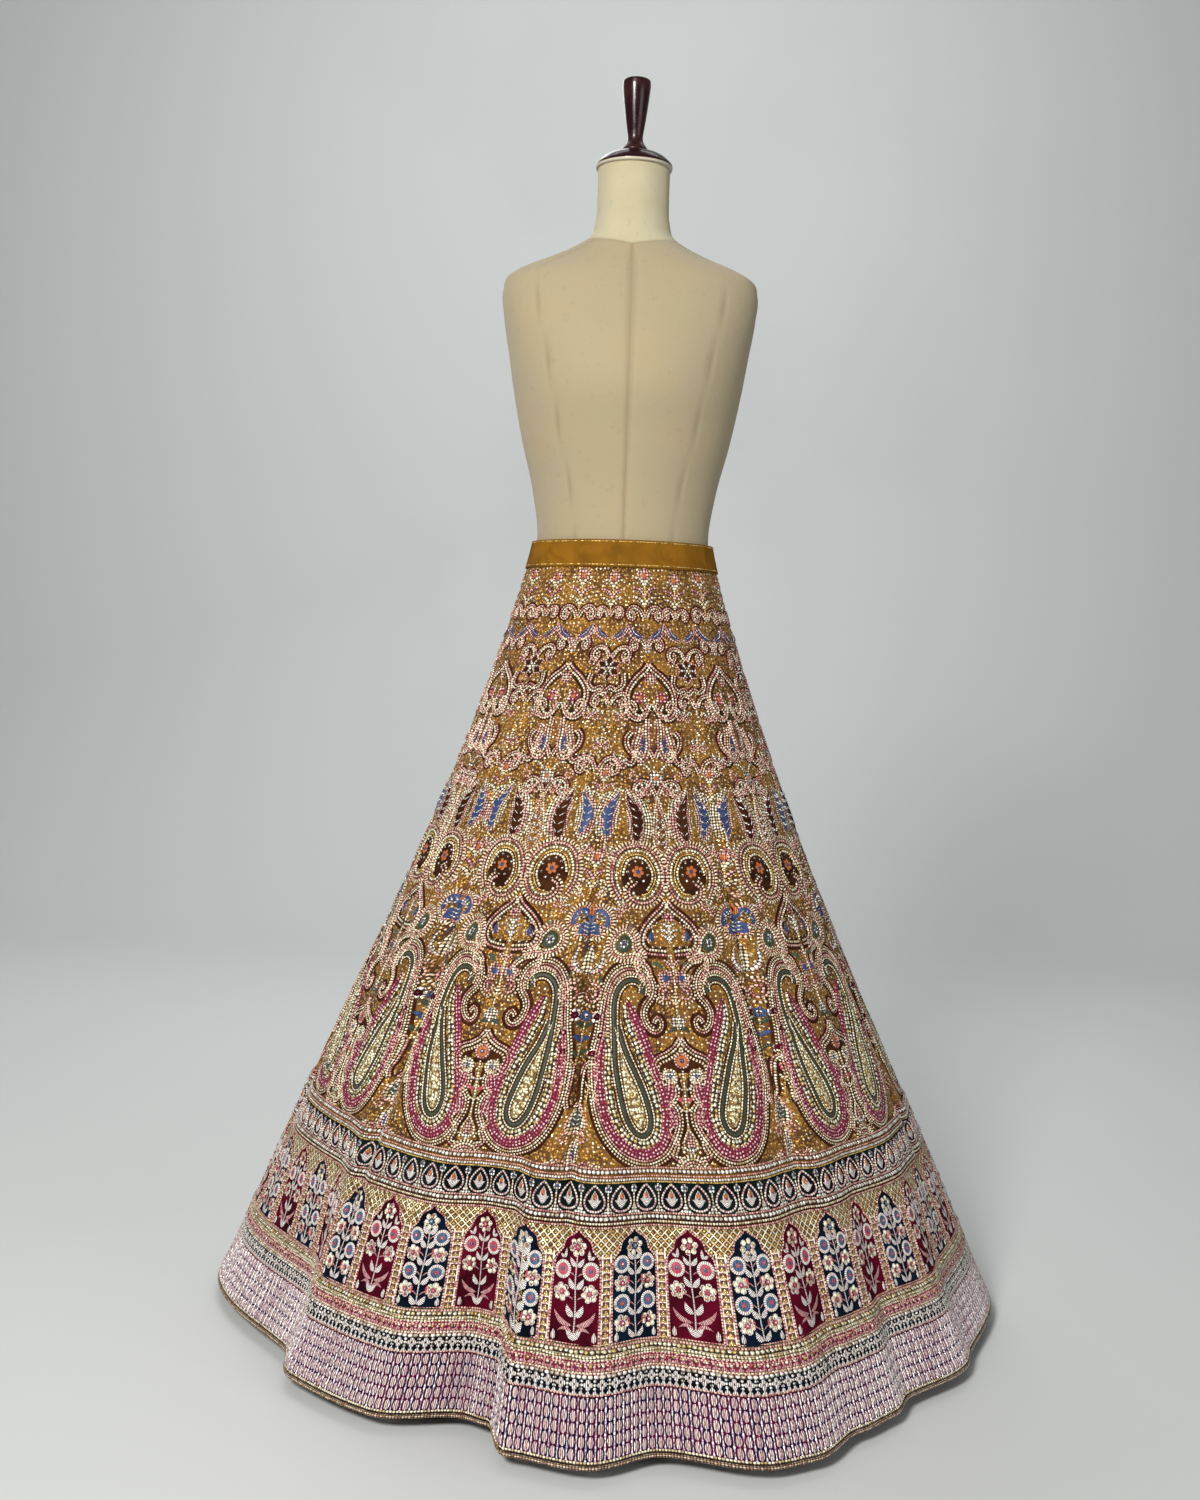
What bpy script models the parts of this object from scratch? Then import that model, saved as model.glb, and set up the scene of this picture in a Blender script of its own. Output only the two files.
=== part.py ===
"""A bell-shaped lehenga skirt worn by a canvas dress form on its stand.

Metres, +Z up. The origin is the centre of the stand's underside, on the floor. The front faces -Y.
A place on the skirt has two numbers: its turn, in degrees round from the front towards +X, and its
share of the way down the cloth, 0 at the top of the waistband and 1 at the hem.
"""

import math

import bpy
from mathutils import Vector

# The skirt
WAIST_HEIGHT = 1.030
HEM_HEIGHT = 0.020
WAIST_HALF_WIDTH = 0.1225
WAIST_HALF_DEPTH = 0.0995
HEM_MEAN_RADIUS = 0.530
FLARE_POWER = 1.15
KICK_SHARE = 0.08
BULGE_SHARE = 0.052
KICK_POWER = 9
FOLD_START = 0.50
FOLD_POWER = 1.5
CLOTH = 0.002
SEAM_GAP = 0.0003
SEAM_SHARE = 0.0003
KALI_COUNT = 9
FIRST_SEAM = -5.7
COLUMNS_PER_KALI = 7
WAISTBAND_SHARE = 0.037
CLOSING_TURN = FIRST_SEAM + 4 * 360 / KALI_COUNT
CLOSING_GAP = 0.3
TAB_COLUMNS = 2
TAB_MARGIN = 0.003
PIPING_RADIUS = 0.0024
PIPING_GAP = 0.0006

# Hem folds, going round from the front's left: the hem's distance from the axis at each turn.
#    turn, radius
FOLDS = (
    (-56, 0.464),
    (-46.5, 0.498),
    (-31, 0.501),
    (-19.5, 0.456),
    (-15.6, 0.463),
    (-11, 0.525),
    (-1.5, 0.542),
    (7, 0.510),
    (20, 0.559),
    (24.5, 0.556),
    (33.5, 0.524),
    (40.5, 0.517),
    (46.5, 0.499),
    (60, 0.516),
    (66.5, 0.508),
    (90, 0.531),
    (107, 0.495),
    (116, 0.538),
    (130, 0.531),
    (142, 0.470),
    (151, 0.538),
    (163, 0.545),
    (176, 0.498),
    (185, 0.537),
    (194, 0.529),
    (205, 0.463),
    (214, 0.532),
    (226, 0.528),
    (240, 0.486),
    (250, 0.520),
    (269, 0.519),
)

# Borders laid on the panels, from the top down.
#    name, share_at_top, share_at_bottom, rows, cloth, colour
BORDERS = (
    ("drop_border", 0.731, 0.788, 1, 0.0012, (0.030, 0.050, 0.090)),
    ("arch_border", 0.788, 0.898, 2, 0.0012, (0.520, 0.370, 0.160)),
    ("gold_braid", 0.898, 0.909, 1, 0.0020, (0.640, 0.510, 0.300)),
    ("rose_braid", 0.909, 0.921, 1, 0.0020, (0.420, 0.060, 0.130)),
    ("diamond_braid", 0.921, 0.940, 1, 0.0020, (0.040, 0.060, 0.120)),
    ("hem_border", 0.940, 1.0, 2, 0.0012, (0.330, 0.120, 0.200)),
)
BORDER_LIFT = 0.0006
UPPER_ROWS = (WAISTBAND_SHARE, 0.12, 0.22, 0.34, 0.46, 0.56, 0.64)

# The dress form's body, one row for each level. Squareness 2 is an ellipse, more is boxier.
#        height, half_width, front_depth, back_depth, squareness
BODY = (
    (0.765, 0.146, 0.104, 0.118, 2.1),
    (0.790, 0.157, 0.110, 0.126, 2.1),
    (0.840, 0.163, 0.112, 0.130, 2.1),
    (0.900, 0.155, 0.109, 0.120, 2.1),
    (0.960, 0.136, 0.102, 0.106, 2.0),
    (1.030, 0.1180, 0.0950, 0.0950, 2.0),
    (1.100, 0.126, 0.099, 0.099, 2.0),
    (1.170, 0.143, 0.116, 0.106, 2.1),
    (1.235, 0.156, 0.135, 0.110, 2.1),
    (1.290, 0.165, 0.128, 0.112, 2.2),
    (1.340, 0.173, 0.110, 0.110, 2.3),
    (1.375, 0.175, 0.094, 0.102, 2.3),
    (1.394, 0.168, 0.083, 0.094, 2.3),
    (1.408, 0.144, 0.074, 0.086, 2.2),
    (1.422, 0.110, 0.065, 0.077, 2.1),
    (1.436, 0.081, 0.058, 0.068, 2.0),
    (1.450, 0.060, 0.052, 0.058, 2.0),
    (1.472, 0.0515, 0.0490, 0.0510, 2.0),
    (1.505, 0.0495, 0.0482, 0.0492, 2.0),
    (1.547, 0.0497, 0.0482, 0.0490, 2.0),
)
BODY_SIDES = 40
BODY_FLOOR = BODY[0][0]
NECK_TOP = BODY[-1][0]
SETTLE_GAP = 0.0003

# The stand
BASE_RADIUS = 0.205
BASE_RIM = 0.012
BASE_TOP = 0.060
POLE_RADIUS = 0.0125
HUB_RADIUS = 0.055
HUB_HEIGHT = 0.014
TURNED_STEPS = 40

CANVAS = (0.620, 0.560, 0.430)
LACQUER = (0.035, 0.010, 0.012)
STEEL = (0.350, 0.350, 0.360)
MUSTARD = (0.480, 0.250, 0.040)


def clear_scene():
    """Removes what the file opens with."""
    for old in list(bpy.data.objects):
        bpy.data.objects.remove(old, do_unlink=True)


def new_collection(name):
    made = bpy.data.collections.new(name)
    bpy.context.scene.collection.children.link(made)
    return made


def new_material(name, colour, roughness, metallic=0.0):
    """A Principled material of one colour."""
    material = bpy.data.materials.new(name)
    material.use_nodes = True
    shader = material.node_tree.nodes["Principled BSDF"]
    shader.inputs["Base Color"].default_value = (*colour, 1.0)
    shader.inputs["Roughness"].default_value = roughness
    shader.inputs["Metallic"].default_value = metallic
    return material


def add_object(name, data, collection, material):
    """Links a mesh or a curve as one named part."""
    part = bpy.data.objects.new(name, data)
    data.materials.append(material)
    collection.objects.link(part)
    return part


def eased(share):
    """Rises from 0 to 1 with level ends."""
    share = min(1.0, max(0.0, share))
    return share * share * (3 - 2 * share)


def hem_radius(turn):
    """The hem's distance from the axis, easing from each row of FOLDS to the next."""
    stops = list(FOLDS)
    first = stops[0][0]
    turn = (turn - first) % 360 + first
    stops.append((first + 360, stops[0][1]))
    for (from_turn, from_radius), (to_turn, to_radius) in zip(stops, stops[1:]):
        if turn <= to_turn:
            way = eased((turn - from_turn) / (to_turn - from_turn))
            return from_radius + (to_radius - from_radius) * way
    return stops[-1][1]


def waist_radius(turn):
    """The waist is an ellipse."""
    angle = math.radians(turn)
    across = WAIST_HALF_DEPTH * math.sin(angle)
    along = WAIST_HALF_WIDTH * math.cos(angle)
    return WAIST_HALF_WIDTH * WAIST_HALF_DEPTH / math.hypot(across, along)


def skirt_radius(turn, share):
    """A flare from the waist's ellipse: it bulges below half way and kicks out at the hem, and its folds fade
    in below FOLD_START."""
    share = max(share, 0.0)
    flare = (1 - KICK_SHARE) * share**FLARE_POWER + KICK_SHARE * share**KICK_POWER
    flare += BULGE_SHARE * math.sin(math.pi * share**3)
    fold = eased((share - FOLD_START) / (1 - FOLD_START)) ** FOLD_POWER
    top = waist_radius(turn)
    return (
        top
        + (HEM_MEAN_RADIUS - top) * flare
        + (hem_radius(turn) - HEM_MEAN_RADIUS) * fold
    )


def skirt_point(turn, share):
    """A point on the skirt's outer face."""
    angle = math.radians(turn)
    radius = skirt_radius(turn, share)
    height = WAIST_HEIGHT + (HEM_HEIGHT - WAIST_HEIGHT) * share
    return Vector((radius * math.sin(angle), -radius * math.cos(angle), height))


def lifted_point(turn, share, lift):
    """A point moved out from the skirt's face along its normal."""
    step = 1.0
    round_it = skirt_point(turn + step, share) - skirt_point(turn - step, share)
    down_it = skirt_point(turn, share + 0.01) - skirt_point(turn, share - 0.01)
    outwards = down_it.cross(round_it).normalized()
    return skirt_point(turn, share) + outwards * lift


def cloth_wall(name, turns, shares, inside, outside, closed, collection, material):
    """Cloth as one closed solid: its two faces lie at two lifts from the skirt's face, joined at the edges.

    turns and shares give the grid of points. closed joins the last column to the first.
    """
    wide, deep = len(turns), len(shares)
    points = [
        lifted_point(turn, share, lift)
        for lift in (outside, inside)
        for share in shares
        for turn in turns
    ]
    faces = []

    def add_quad(one, two, three, four):
        faces.append((one, two, three))
        faces.append((one, three, four))

    inner = wide * deep
    for down in range(deep - 1):
        for across in range(wide if closed else wide - 1):
            beside = (across + 1) % wide
            top, low = down * wide, (down + 1) * wide
            add_quad(top + across, low + across, low + beside, top + beside)
            faces.append((inner + top + across, inner + low + beside, inner + low + across))
            faces.append((inner + top + across, inner + top + beside, inner + low + beside))
    for across in range(wide if closed else wide - 1):
        beside = (across + 1) % wide
        last = (deep - 1) * wide
        add_quad(across, beside, inner + beside, inner + across)
        add_quad(last + beside, last + across, inner + last + across, inner + last + beside)
    if not closed:
        for down in range(deep - 1):
            top, low = down * wide, (down + 1) * wide
            end, low_end = top + wide - 1, low + wide - 1
            add_quad(low, top, inner + top, inner + low)
            add_quad(end, low_end, inner + low_end, inner + end)
    mesh = bpy.data.meshes.new(name)
    mesh.from_pydata(points, [], faces)
    return add_object(name, mesh, collection, material)


def spread(first, last, count):
    """count + 1 even steps from first to last."""
    return [first + (last - first) * step / count for step in range(count + 1)]


def border_shares(row):
    """The shares of one border's rows of points."""
    return spread(row[1], row[2], row[3])


def panel_shares():
    """The shares of a kali's rows, which include those of every border on it."""
    shares = list(UPPER_ROWS)
    for row in BORDERS:
        shares += [share for share in border_shares(row) if share > shares[-1] + 1e-6]
    return shares


def make_kalis(collection):
    """The flared panels, seamed edge to edge, each running from the waistband to the hem."""
    velvet = new_material("mustard velvet", MUSTARD, 0.75)
    step = 360 / KALI_COUNT
    shares = panel_shares()
    shares[0] += SEAM_SHARE
    inset = math.degrees(SEAM_GAP / 2 / WAIST_HALF_DEPTH)
    for number in range(KALI_COUNT):
        seam = FIRST_SEAM + number * step
        turns = spread(seam, seam + step, COLUMNS_PER_KALI)
        turns[0] += inset
        turns[-1] -= inset
        cloth_wall(f"kali_{number + 1}", turns, shares, -CLOTH, 0, False, collection, velvet)


def make_waistband(collection):
    """A straight band that meets at a back seam, where its tab laps over the closing."""
    velvet = new_material("waistband velvet", MUSTARD, 0.75)
    count = KALI_COUNT * COLUMNS_PER_KALI
    turns = spread(CLOSING_TURN, CLOSING_TURN + 360, count)
    turns[0] += CLOSING_GAP
    turns[-1] -= CLOSING_GAP
    cloth_wall("waistband", turns, (0.0, WAISTBAND_SHARE), -CLOTH, 0, False, collection, velvet)
    step = 360 / count
    turns = [CLOSING_TURN + step * column for column in range(-TAB_COLUMNS, TAB_COLUMNS + 1)]
    shares = (TAB_MARGIN, WAISTBAND_SHARE - TAB_MARGIN)
    outside = BORDER_LIFT + CLOTH
    cloth_wall("waistband_tab", turns, shares, BORDER_LIFT, outside, False, collection, velvet)


def make_borders(collection):
    """The worked borders, each a band all round, laid on the panels' own points."""
    count = KALI_COUNT * COLUMNS_PER_KALI
    turns = [FIRST_SEAM + 360 * column / count for column in range(count)]
    for row in BORDERS:
        name, cloth, colour = row[0], row[4], row[5]
        shares = border_shares(row)
        shares[0] += SEAM_SHARE
        material = new_material(name.replace("_", " "), colour, 0.6)
        outside = BORDER_LIFT + cloth
        cloth_wall(name, turns, shares, BORDER_LIFT, outside, True, collection, material)


def make_piping(collection):
    """A covered cord all round, just below the hem's edge in line with the cloth."""
    count = KALI_COUNT * COLUMNS_PER_KALI
    curve = bpy.data.curves.new("hem_piping", "CURVE")
    curve.dimensions = "3D"
    curve.bevel_depth = PIPING_RADIUS
    curve.bevel_resolution = 1
    line = curve.splines.new("POLY")
    line.points.add(count - 1)
    line.use_cyclic_u = True
    for number, point in enumerate(line.points):
        turn = FIRST_SEAM + 360 * number / count
        edge = skirt_point(turn, 1.0)
        slope = (edge - skirt_point(turn, 0.99)).normalized()
        point.co = (*(edge + slope * (PIPING_RADIUS + PIPING_GAP)), 1.0)
    material = new_material("hem piping", (0.330, 0.090, 0.080), 0.6)
    add_object("hem_piping", curve, collection, material)


def body_ring(row):
    """One level of the dress form: a squared ellipse, deeper at the front or the back as its row says."""
    height, half_width, front, back, squareness = row
    ring = []
    power = 2 / squareness
    for number in range(BODY_SIDES):
        angle = 2 * math.pi * number / BODY_SIDES
        sine, cosine = math.sin(angle), math.cos(angle)
        depth = front if cosine > 0 else back
        across = math.copysign(abs(sine) ** power, sine)
        along = math.copysign(abs(cosine) ** power, cosine)
        ring.append(Vector((half_width * across, -depth * along, height)))
    return ring


def make_body(collection):
    """The canvas body and neck: a loft through its levels, closed at both ends."""
    points = [point for row in BODY for point in body_ring(row)]
    faces = []
    for level in range(len(BODY) - 1):
        low, high = level * BODY_SIDES, (level + 1) * BODY_SIDES
        for side in range(BODY_SIDES):
            beside = (side + 1) % BODY_SIDES
            faces.append((low + side, low + beside, high + beside, high + side))
    faces.append(tuple(reversed(range(BODY_SIDES))))
    faces.append(tuple(range(len(points) - BODY_SIDES, len(points))))
    mesh = bpy.data.meshes.new("form_body")
    mesh.from_pydata(points, [], faces)
    mesh.shade_smooth()
    material = new_material("canvas", CANVAS, 0.8)
    add_object("form_body", mesh, collection, material)


def turned(name, profile, collection, material):
    """A lathe shape: profile is (radius, height) from the top of the axis, down the outside, to its foot."""
    mesh = bpy.data.meshes.new(name)
    points = [(radius, 0.0, height) for radius, height in profile]
    mesh.from_pydata(points, [(i, i + 1) for i in range(len(points) - 1)], [])
    part = add_object(name, mesh, collection, material)
    lathe = part.modifiers.new("Lathe", "SCREW")
    lathe.steps = TURNED_STEPS
    lathe.render_steps = TURNED_STEPS
    lathe.use_merge_vertices = True
    lathe.merge_threshold = 0.00005
    return part


def make_neck_cap(collection):
    """A lacquered wooden cap over the neck, with its turned handle."""
    wood = new_material("lacquered wood", LACQUER, 0.2)
    rim = NECK_TOP + SETTLE_GAP
    cap_top = rim + 0.025
    turned(
        "neck_cap",
        (
            (0.0, cap_top),
            (0.018, cap_top),
            (0.032, cap_top - 0.004),
            (0.0435, cap_top - 0.0105),
            (0.0508, cap_top - 0.0175),
            (0.0528, cap_top - 0.0210),
            (0.0523, rim),
            (0.0, rim),
        ),
        collection,
        wood,
    )
    foot = cap_top + SETTLE_GAP
    turned(
        "neck_handle",
        (
            (0.0, foot + 0.100),
            (0.010, foot + 0.100),
            (0.0170, foot + 0.0985),
            (0.0194, foot + 0.094),
            (0.0197, foot + 0.086),
            (0.0172, foot + 0.058),
            (0.0142, foot + 0.034),
            (0.0122, foot + 0.018),
            (0.0128, foot + 0.013),
            (0.0160, foot + 0.006),
            (0.0177, foot),
            (0.0, foot),
        ),
        collection,
        wood,
    )


def make_stand(collection):
    """A round weighted base, a straight pole and the hub that carries the body."""
    steel = new_material("stand steel", STEEL, 0.35, 1.0)
    turned(
        "stand_base",
        (
            (0.0, BASE_TOP),
            (POLE_RADIUS + 0.006, BASE_TOP),
            (POLE_RADIUS + 0.008, BASE_TOP - 0.003),
            (POLE_RADIUS + 0.010, BASE_TOP - 0.030),
            (0.060, BASE_RIM + 0.010),
            (BASE_RADIUS - 0.012, BASE_RIM),
            (BASE_RADIUS, BASE_RIM - 0.006),
            (BASE_RADIUS, 0.0),
            (0.0, 0.0),
        ),
        collection,
        steel,
    )
    hub_foot = BODY_FLOOR - HUB_HEIGHT - SETTLE_GAP
    low, high = BASE_TOP + SETTLE_GAP, hub_foot - SETTLE_GAP
    bpy.ops.mesh.primitive_cylinder_add(
        radius=POLE_RADIUS,
        depth=high - low,
        vertices=24,
        location=(0, 0, (low + high) / 2),
    )
    pole = bpy.context.object
    pole.name = "stand_pole"
    pole.data.materials.append(steel)
    for holder in list(pole.users_collection):
        holder.objects.unlink(pole)
    collection.objects.link(pole)
    turned(
        "stand_hub",
        (
            (0.0, hub_foot + HUB_HEIGHT),
            (HUB_RADIUS, hub_foot + HUB_HEIGHT),
            (HUB_RADIUS, hub_foot + HUB_HEIGHT - 0.005),
            (POLE_RADIUS + 0.006, hub_foot),
            (0.0, hub_foot),
        ),
        collection,
        steel,
    )


def main():
    clear_scene()
    parts = new_collection("Lehenga skirt on a dress form")
    make_waistband(parts)
    make_kalis(parts)
    make_borders(parts)
    make_piping(parts)
    make_body(parts)
    make_neck_cap(parts)
    make_stand(parts)


main()
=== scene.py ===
"""The looks of an embroidered lehenga skirt on a dress form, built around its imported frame.

Metres, +Z up, the skirt's front faces -Y. A place on the skirt is a turn, in degrees round from the
front towards +X, and a share of the way down the cloth, 0 at the waistband's top and 1 at the hem.
Needlework is drawn flat, x to the right and y up in metres, and then laid on the cloth.
"""

import math
from collections import namedtuple

import bpy
import numpy as np
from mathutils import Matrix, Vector


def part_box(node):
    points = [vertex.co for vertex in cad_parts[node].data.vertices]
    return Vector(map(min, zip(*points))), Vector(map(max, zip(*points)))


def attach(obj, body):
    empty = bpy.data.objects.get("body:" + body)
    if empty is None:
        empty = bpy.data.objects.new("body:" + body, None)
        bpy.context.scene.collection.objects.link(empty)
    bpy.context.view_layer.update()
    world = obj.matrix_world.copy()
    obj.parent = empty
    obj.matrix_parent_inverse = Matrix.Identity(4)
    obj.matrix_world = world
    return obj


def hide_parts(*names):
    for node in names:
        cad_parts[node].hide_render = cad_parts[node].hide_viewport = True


bl_info = {
    "name": "Embroidered Lehenga Skirt", "version": (1, 0, 0), "blender": (4, 5, 0),
    "location": "View3D > Sidebar > Lehenga",
    "description": "Sews and embroiders a flared velvet skirt on its dress form", "category": "Object",
}

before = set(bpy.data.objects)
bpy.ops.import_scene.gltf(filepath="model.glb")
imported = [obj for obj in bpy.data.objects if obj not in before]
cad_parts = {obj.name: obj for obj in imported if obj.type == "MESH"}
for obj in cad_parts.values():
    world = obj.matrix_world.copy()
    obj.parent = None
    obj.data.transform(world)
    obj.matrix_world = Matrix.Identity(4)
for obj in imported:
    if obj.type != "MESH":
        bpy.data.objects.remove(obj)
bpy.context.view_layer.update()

# Hem folds, as on the frame's panels: the hem's distance from the axis at each turn.
#    turn, radius
FOLDS = (
    (-56, 0.464), (-46.5, 0.498), (-31, 0.501), (-19.5, 0.456), (-15.6, 0.463), (-11, 0.525), (-1.5, 0.542),
    (7, 0.51), (20, 0.559), (24.5, 0.556), (33.5, 0.524), (40.5, 0.517), (46.5, 0.499), (60, 0.516), (66.5, 0.508),
    (90, 0.531), (107, 0.495), (116, 0.538), (130, 0.531), (142, 0.47), (151, 0.538), (163, 0.545), (176, 0.498),
    (185, 0.537), (194, 0.529), (205, 0.463), (214, 0.532), (226, 0.528), (240, 0.486), (250, 0.52), (269, 0.519),
)

# The neck's seam on the form: its height at the middle, and its rise for each metre aside.
NECK_SEAM, NECK_SEAM_RISE = (1.432, 0.2)

# Creases that the hanging weight draws down from the waist: sharp ones at panel seams, then soft ones.
#    turn, top_share, bottom_share, half_width (degrees), depth
CREASES = (
    (-45.7, 0.36, 0.88, 1.6, 0.013), (-5.7, 0.36, 0.86, 1.4, 0.012), (34.3, 0.3, 0.84, 1.4, 0.009),
    (74.3, 0.34, 0.86, 1.5, 0.01), (154.3, 0.36, 0.84, 1.6, 0.011), (194.3, 0.3, 0.86, 1.4, 0.009),
    (234.3, 0.38, 0.88, 1.5, 0.012), (274.3, 0.34, 0.85, 1.5, 0.01), (-68, 0.12, 0.7, 4.5, 0.0035),
    (-41, 0.1, 0.86, 4.0, 0.005), (-27, 0.3, 0.92, 3.0, -0.003), (-12, 0.16, 0.8, 3.5, 0.0035),
    (11, 0.22, 0.74, 3.0, 0.003), (31, 0.12, 0.88, 4.0, 0.005), (38, 0.34, 0.9, 2.6, -0.003),
    (60, 0.1, 0.76, 4.2, 0.004), (82, 0.26, 0.84, 3.6, 0.003), (101, 0.1, 0.82, 4.4, 0.0045),
    (130, 0.2, 0.92, 3.4, 0.004), (149, 0.1, 0.7, 3.8, 0.0035), (168, 0.24, 0.9, 3.2, 0.005),
    (195, 0.12, 0.78, 4.4, 0.004), (214, 0.3, 0.9, 3.0, -0.003), (231, 0.1, 0.86, 4.0, 0.005),
    (254, 0.2, 0.74, 3.6, 0.0035), (277, 0.12, 0.9, 4.2, 0.004),
)

# Borders round the skirt, as in the frame.
#    name: (share_at_top, share_at_bottom)
BORDERS = {
    "drop_border": (0.731, 0.788), "arch_border": (0.788, 0.898), "gold_braid": (0.898, 0.909),
    "rose_braid": (0.909, 0.921), "diamond_braid": (0.921, 0.94), "hem_border": (0.94, 1.0),
}
WAISTBAND_SHARE = 0.037

# How the cloth opens from the waist to the hem, as in the frame.
FLARE_EVEN, FLARE_POWER = (0.92, 1.15)
FLARE_KICK, FLARE_KICK_POWER = (0.08, 9)
FLARE_BULGE = 0.052
FOLD_START, FOLD_POWER = (0.5, 1.5)

# The dip along each panel seam.
SEAM_DIP, SEAM_HALF_WIDTH = (0.0012, 0.0022)

KALI_COUNT = 9
FIRST_SEAM = -5.7
KALI_TURN = 360 / KALI_COUNT
CLOSING_TURN = FIRST_SEAM + 4 * KALI_TURN
SHARES = np.linspace(0, 1, 401)

# The dress form's body. Squareness 2 is an ellipse, more is boxier.
#        height, half_width, front_depth, back_depth, squareness
BODY = (
    (0.765, 0.146, 0.104, 0.118, 2.1), (0.79, 0.157, 0.11, 0.126, 2.1), (0.84, 0.163, 0.112, 0.13, 2.1),
    (0.9, 0.155, 0.109, 0.12, 2.1), (0.96, 0.136, 0.102, 0.106, 2.0), (1.03, 0.118, 0.095, 0.095, 2.0),
    (1.1, 0.126, 0.099, 0.099, 2.0), (1.17, 0.143, 0.116, 0.106, 2.1), (1.235, 0.156, 0.135, 0.11, 2.1),
    (1.29, 0.165, 0.128, 0.112, 2.2), (1.34, 0.173, 0.11, 0.11, 2.3), (1.375, 0.175, 0.094, 0.102, 2.3),
    (1.394, 0.168, 0.083, 0.094, 2.3), (1.408, 0.144, 0.074, 0.086, 2.2), (1.422, 0.11, 0.065, 0.077, 2.1),
    (1.436, 0.081, 0.058, 0.068, 2.0), (1.45, 0.06, 0.052, 0.058, 2.0), (1.472, 0.0515, 0.049, 0.051, 2.0),
    (1.505, 0.0495, 0.0482, 0.0492, 2.0), (1.547, 0.0497, 0.0482, 0.049, 2.0),
)


# ---------------------------------------------------------------- sizes and colours


def length(name, description, default):
    """A driving size in metres."""
    return bpy.props.FloatProperty(name=name, description=description, default=default, unit="LENGTH")


def colour(name, description, default):
    """A colour that a user would change."""
    return bpy.props.FloatVectorProperty(
        name=name, description=description, default=default, size=3, subtype="COLOR"
    )


class LehengaSizes(bpy.types.PropertyGroup):
    """The skirt's driving sizes."""

    waist_height: length("Waist height", "Top of the waistband", 1.030)
    hem_height: length("Hem height", "Hem above the floor", 0.020)
    waist_half_width: length("Waist half width", "Side to side", 0.1225)
    waist_half_depth: length("Waist half depth", "Front to back", 0.0995)
    hem_mean_radius: length("Hem radius", "Mean radius of the hem", 0.530)
    cloth: length("Cloth", "Thickness of the velvet and its backing", 0.002)
    arches: bpy.props.IntProperty(
        name="Arches", description="Velvet arches all round the border, an even number", default=44, min=4
    )


class LehengaColours(bpy.types.PropertyGroup):
    """The colours a user would change."""

    # The velvet's bright and dark tones are painted light and shade, mixed in soft patches.
    velvet_bright: colour("Velvet, bright", "Mustard pile in the light", (0.240, 0.105, 0.008))
    velvet_dark: colour("Velvet, dark", "Mustard pile turned from the light", (0.052, 0.016, 0.003))
    canvas: colour("Canvas", "The dress form's cover", (0.50, 0.455, 0.300))
    lacquer: colour("Lacquer", "The neck cap and handle", (0.0085, 0.0010, 0.0022))
    floor: colour("Floor", "The plain pale floor", (0.56, 0.575, 0.57))


def sizes():
    return bpy.context.scene.lehenga_sizes


def colours():
    return bpy.context.scene.lehenga_colours


# ---------------------------------------------------------------- the skirt's surface


def eased(share):
    """Rises from 0 to 1 with level ends: 3s^2 - 2s^3."""
    share = np.clip(share, 0.0, 1.0)
    return share * share * (3 - 2 * share)


def hem_radius(turn):
    """The hem's distance from the axis, easing from each row of FOLDS to the next."""
    stops, radii = np.array(FOLDS, float).T
    stops = np.append(stops, stops[0] + 360)
    radii = np.append(radii, radii[0])
    around = (turn - stops[0]) % 360 + stops[0]
    place = np.clip(np.searchsorted(stops, around, side="right") - 1, 0, len(stops) - 2)
    way = eased((around - stops[place]) / (stops[place + 1] - stops[place]))
    return radii[place] + (radii[place + 1] - radii[place]) * way


def flare(share):
    """How far the cloth has opened, from 0 at the waist to 1 at the hem: an even power of the share, a higher
    power that kicks out at the hem, and a slight bulge, sin(pi share^3), below half way."""
    share = np.maximum(share, 0.0)
    even = FLARE_EVEN * share**FLARE_POWER
    return even + FLARE_KICK * share**FLARE_KICK_POWER + FLARE_BULGE * np.sin(np.pi * share**3)


def mean_radius(share):
    """The skirt's radius with its waist rounded to a circle and no folds."""
    waist = (sizes().waist_half_width + sizes().waist_half_depth) / 2
    return waist + (sizes().hem_mean_radius - waist) * flare(share)


def crease_depth(turn, share):
    """Sum of the creases: each a Gaussian across, fading out at its two ends, and the panel seams' dips."""
    depth = np.zeros_like(turn)
    for centre, top, bottom, half_width, deep in CREASES:
        away = (turn - centre + 180) % 360 - 180
        across = np.exp(-(away / half_width) ** 2)
        along = eased((share - top) / 0.16) * eased((bottom - share) / 0.16)
        depth += deep * across * along
    from_seam = (turn - FIRST_SEAM + KALI_TURN / 2) % KALI_TURN - KALI_TURN / 2
    metres = np.radians(from_seam) * mean_radius(share)
    depth += SEAM_DIP * np.exp(-(metres / SEAM_HALF_WIDTH) ** 2) * (share < BORDERS["drop_border"][0])
    return depth


def skirt_at(turn, share):
    """Points on the skirt's outer face: waist ellipse + flare + folds that fade in below half way - creases."""
    turn, share = np.broadcast_arrays(np.asarray(turn, float), np.asarray(share, float))
    angle = np.radians(turn)
    wide, deep = (sizes().waist_half_width, sizes().waist_half_depth)
    waist = wide * deep / np.hypot(deep * np.sin(angle), wide * np.cos(angle))
    fold = eased((share - FOLD_START) / (1 - FOLD_START)) ** FOLD_POWER
    radius = waist + (sizes().hem_mean_radius - waist) * flare(share)
    radius = radius + (hem_radius(turn) - sizes().hem_mean_radius) * fold - crease_depth(turn, share)
    height = sizes().waist_height + (sizes().hem_height - sizes().waist_height) * share
    return np.stack((radius * np.sin(angle), -radius * np.cos(angle), height), axis=-1)


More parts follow.
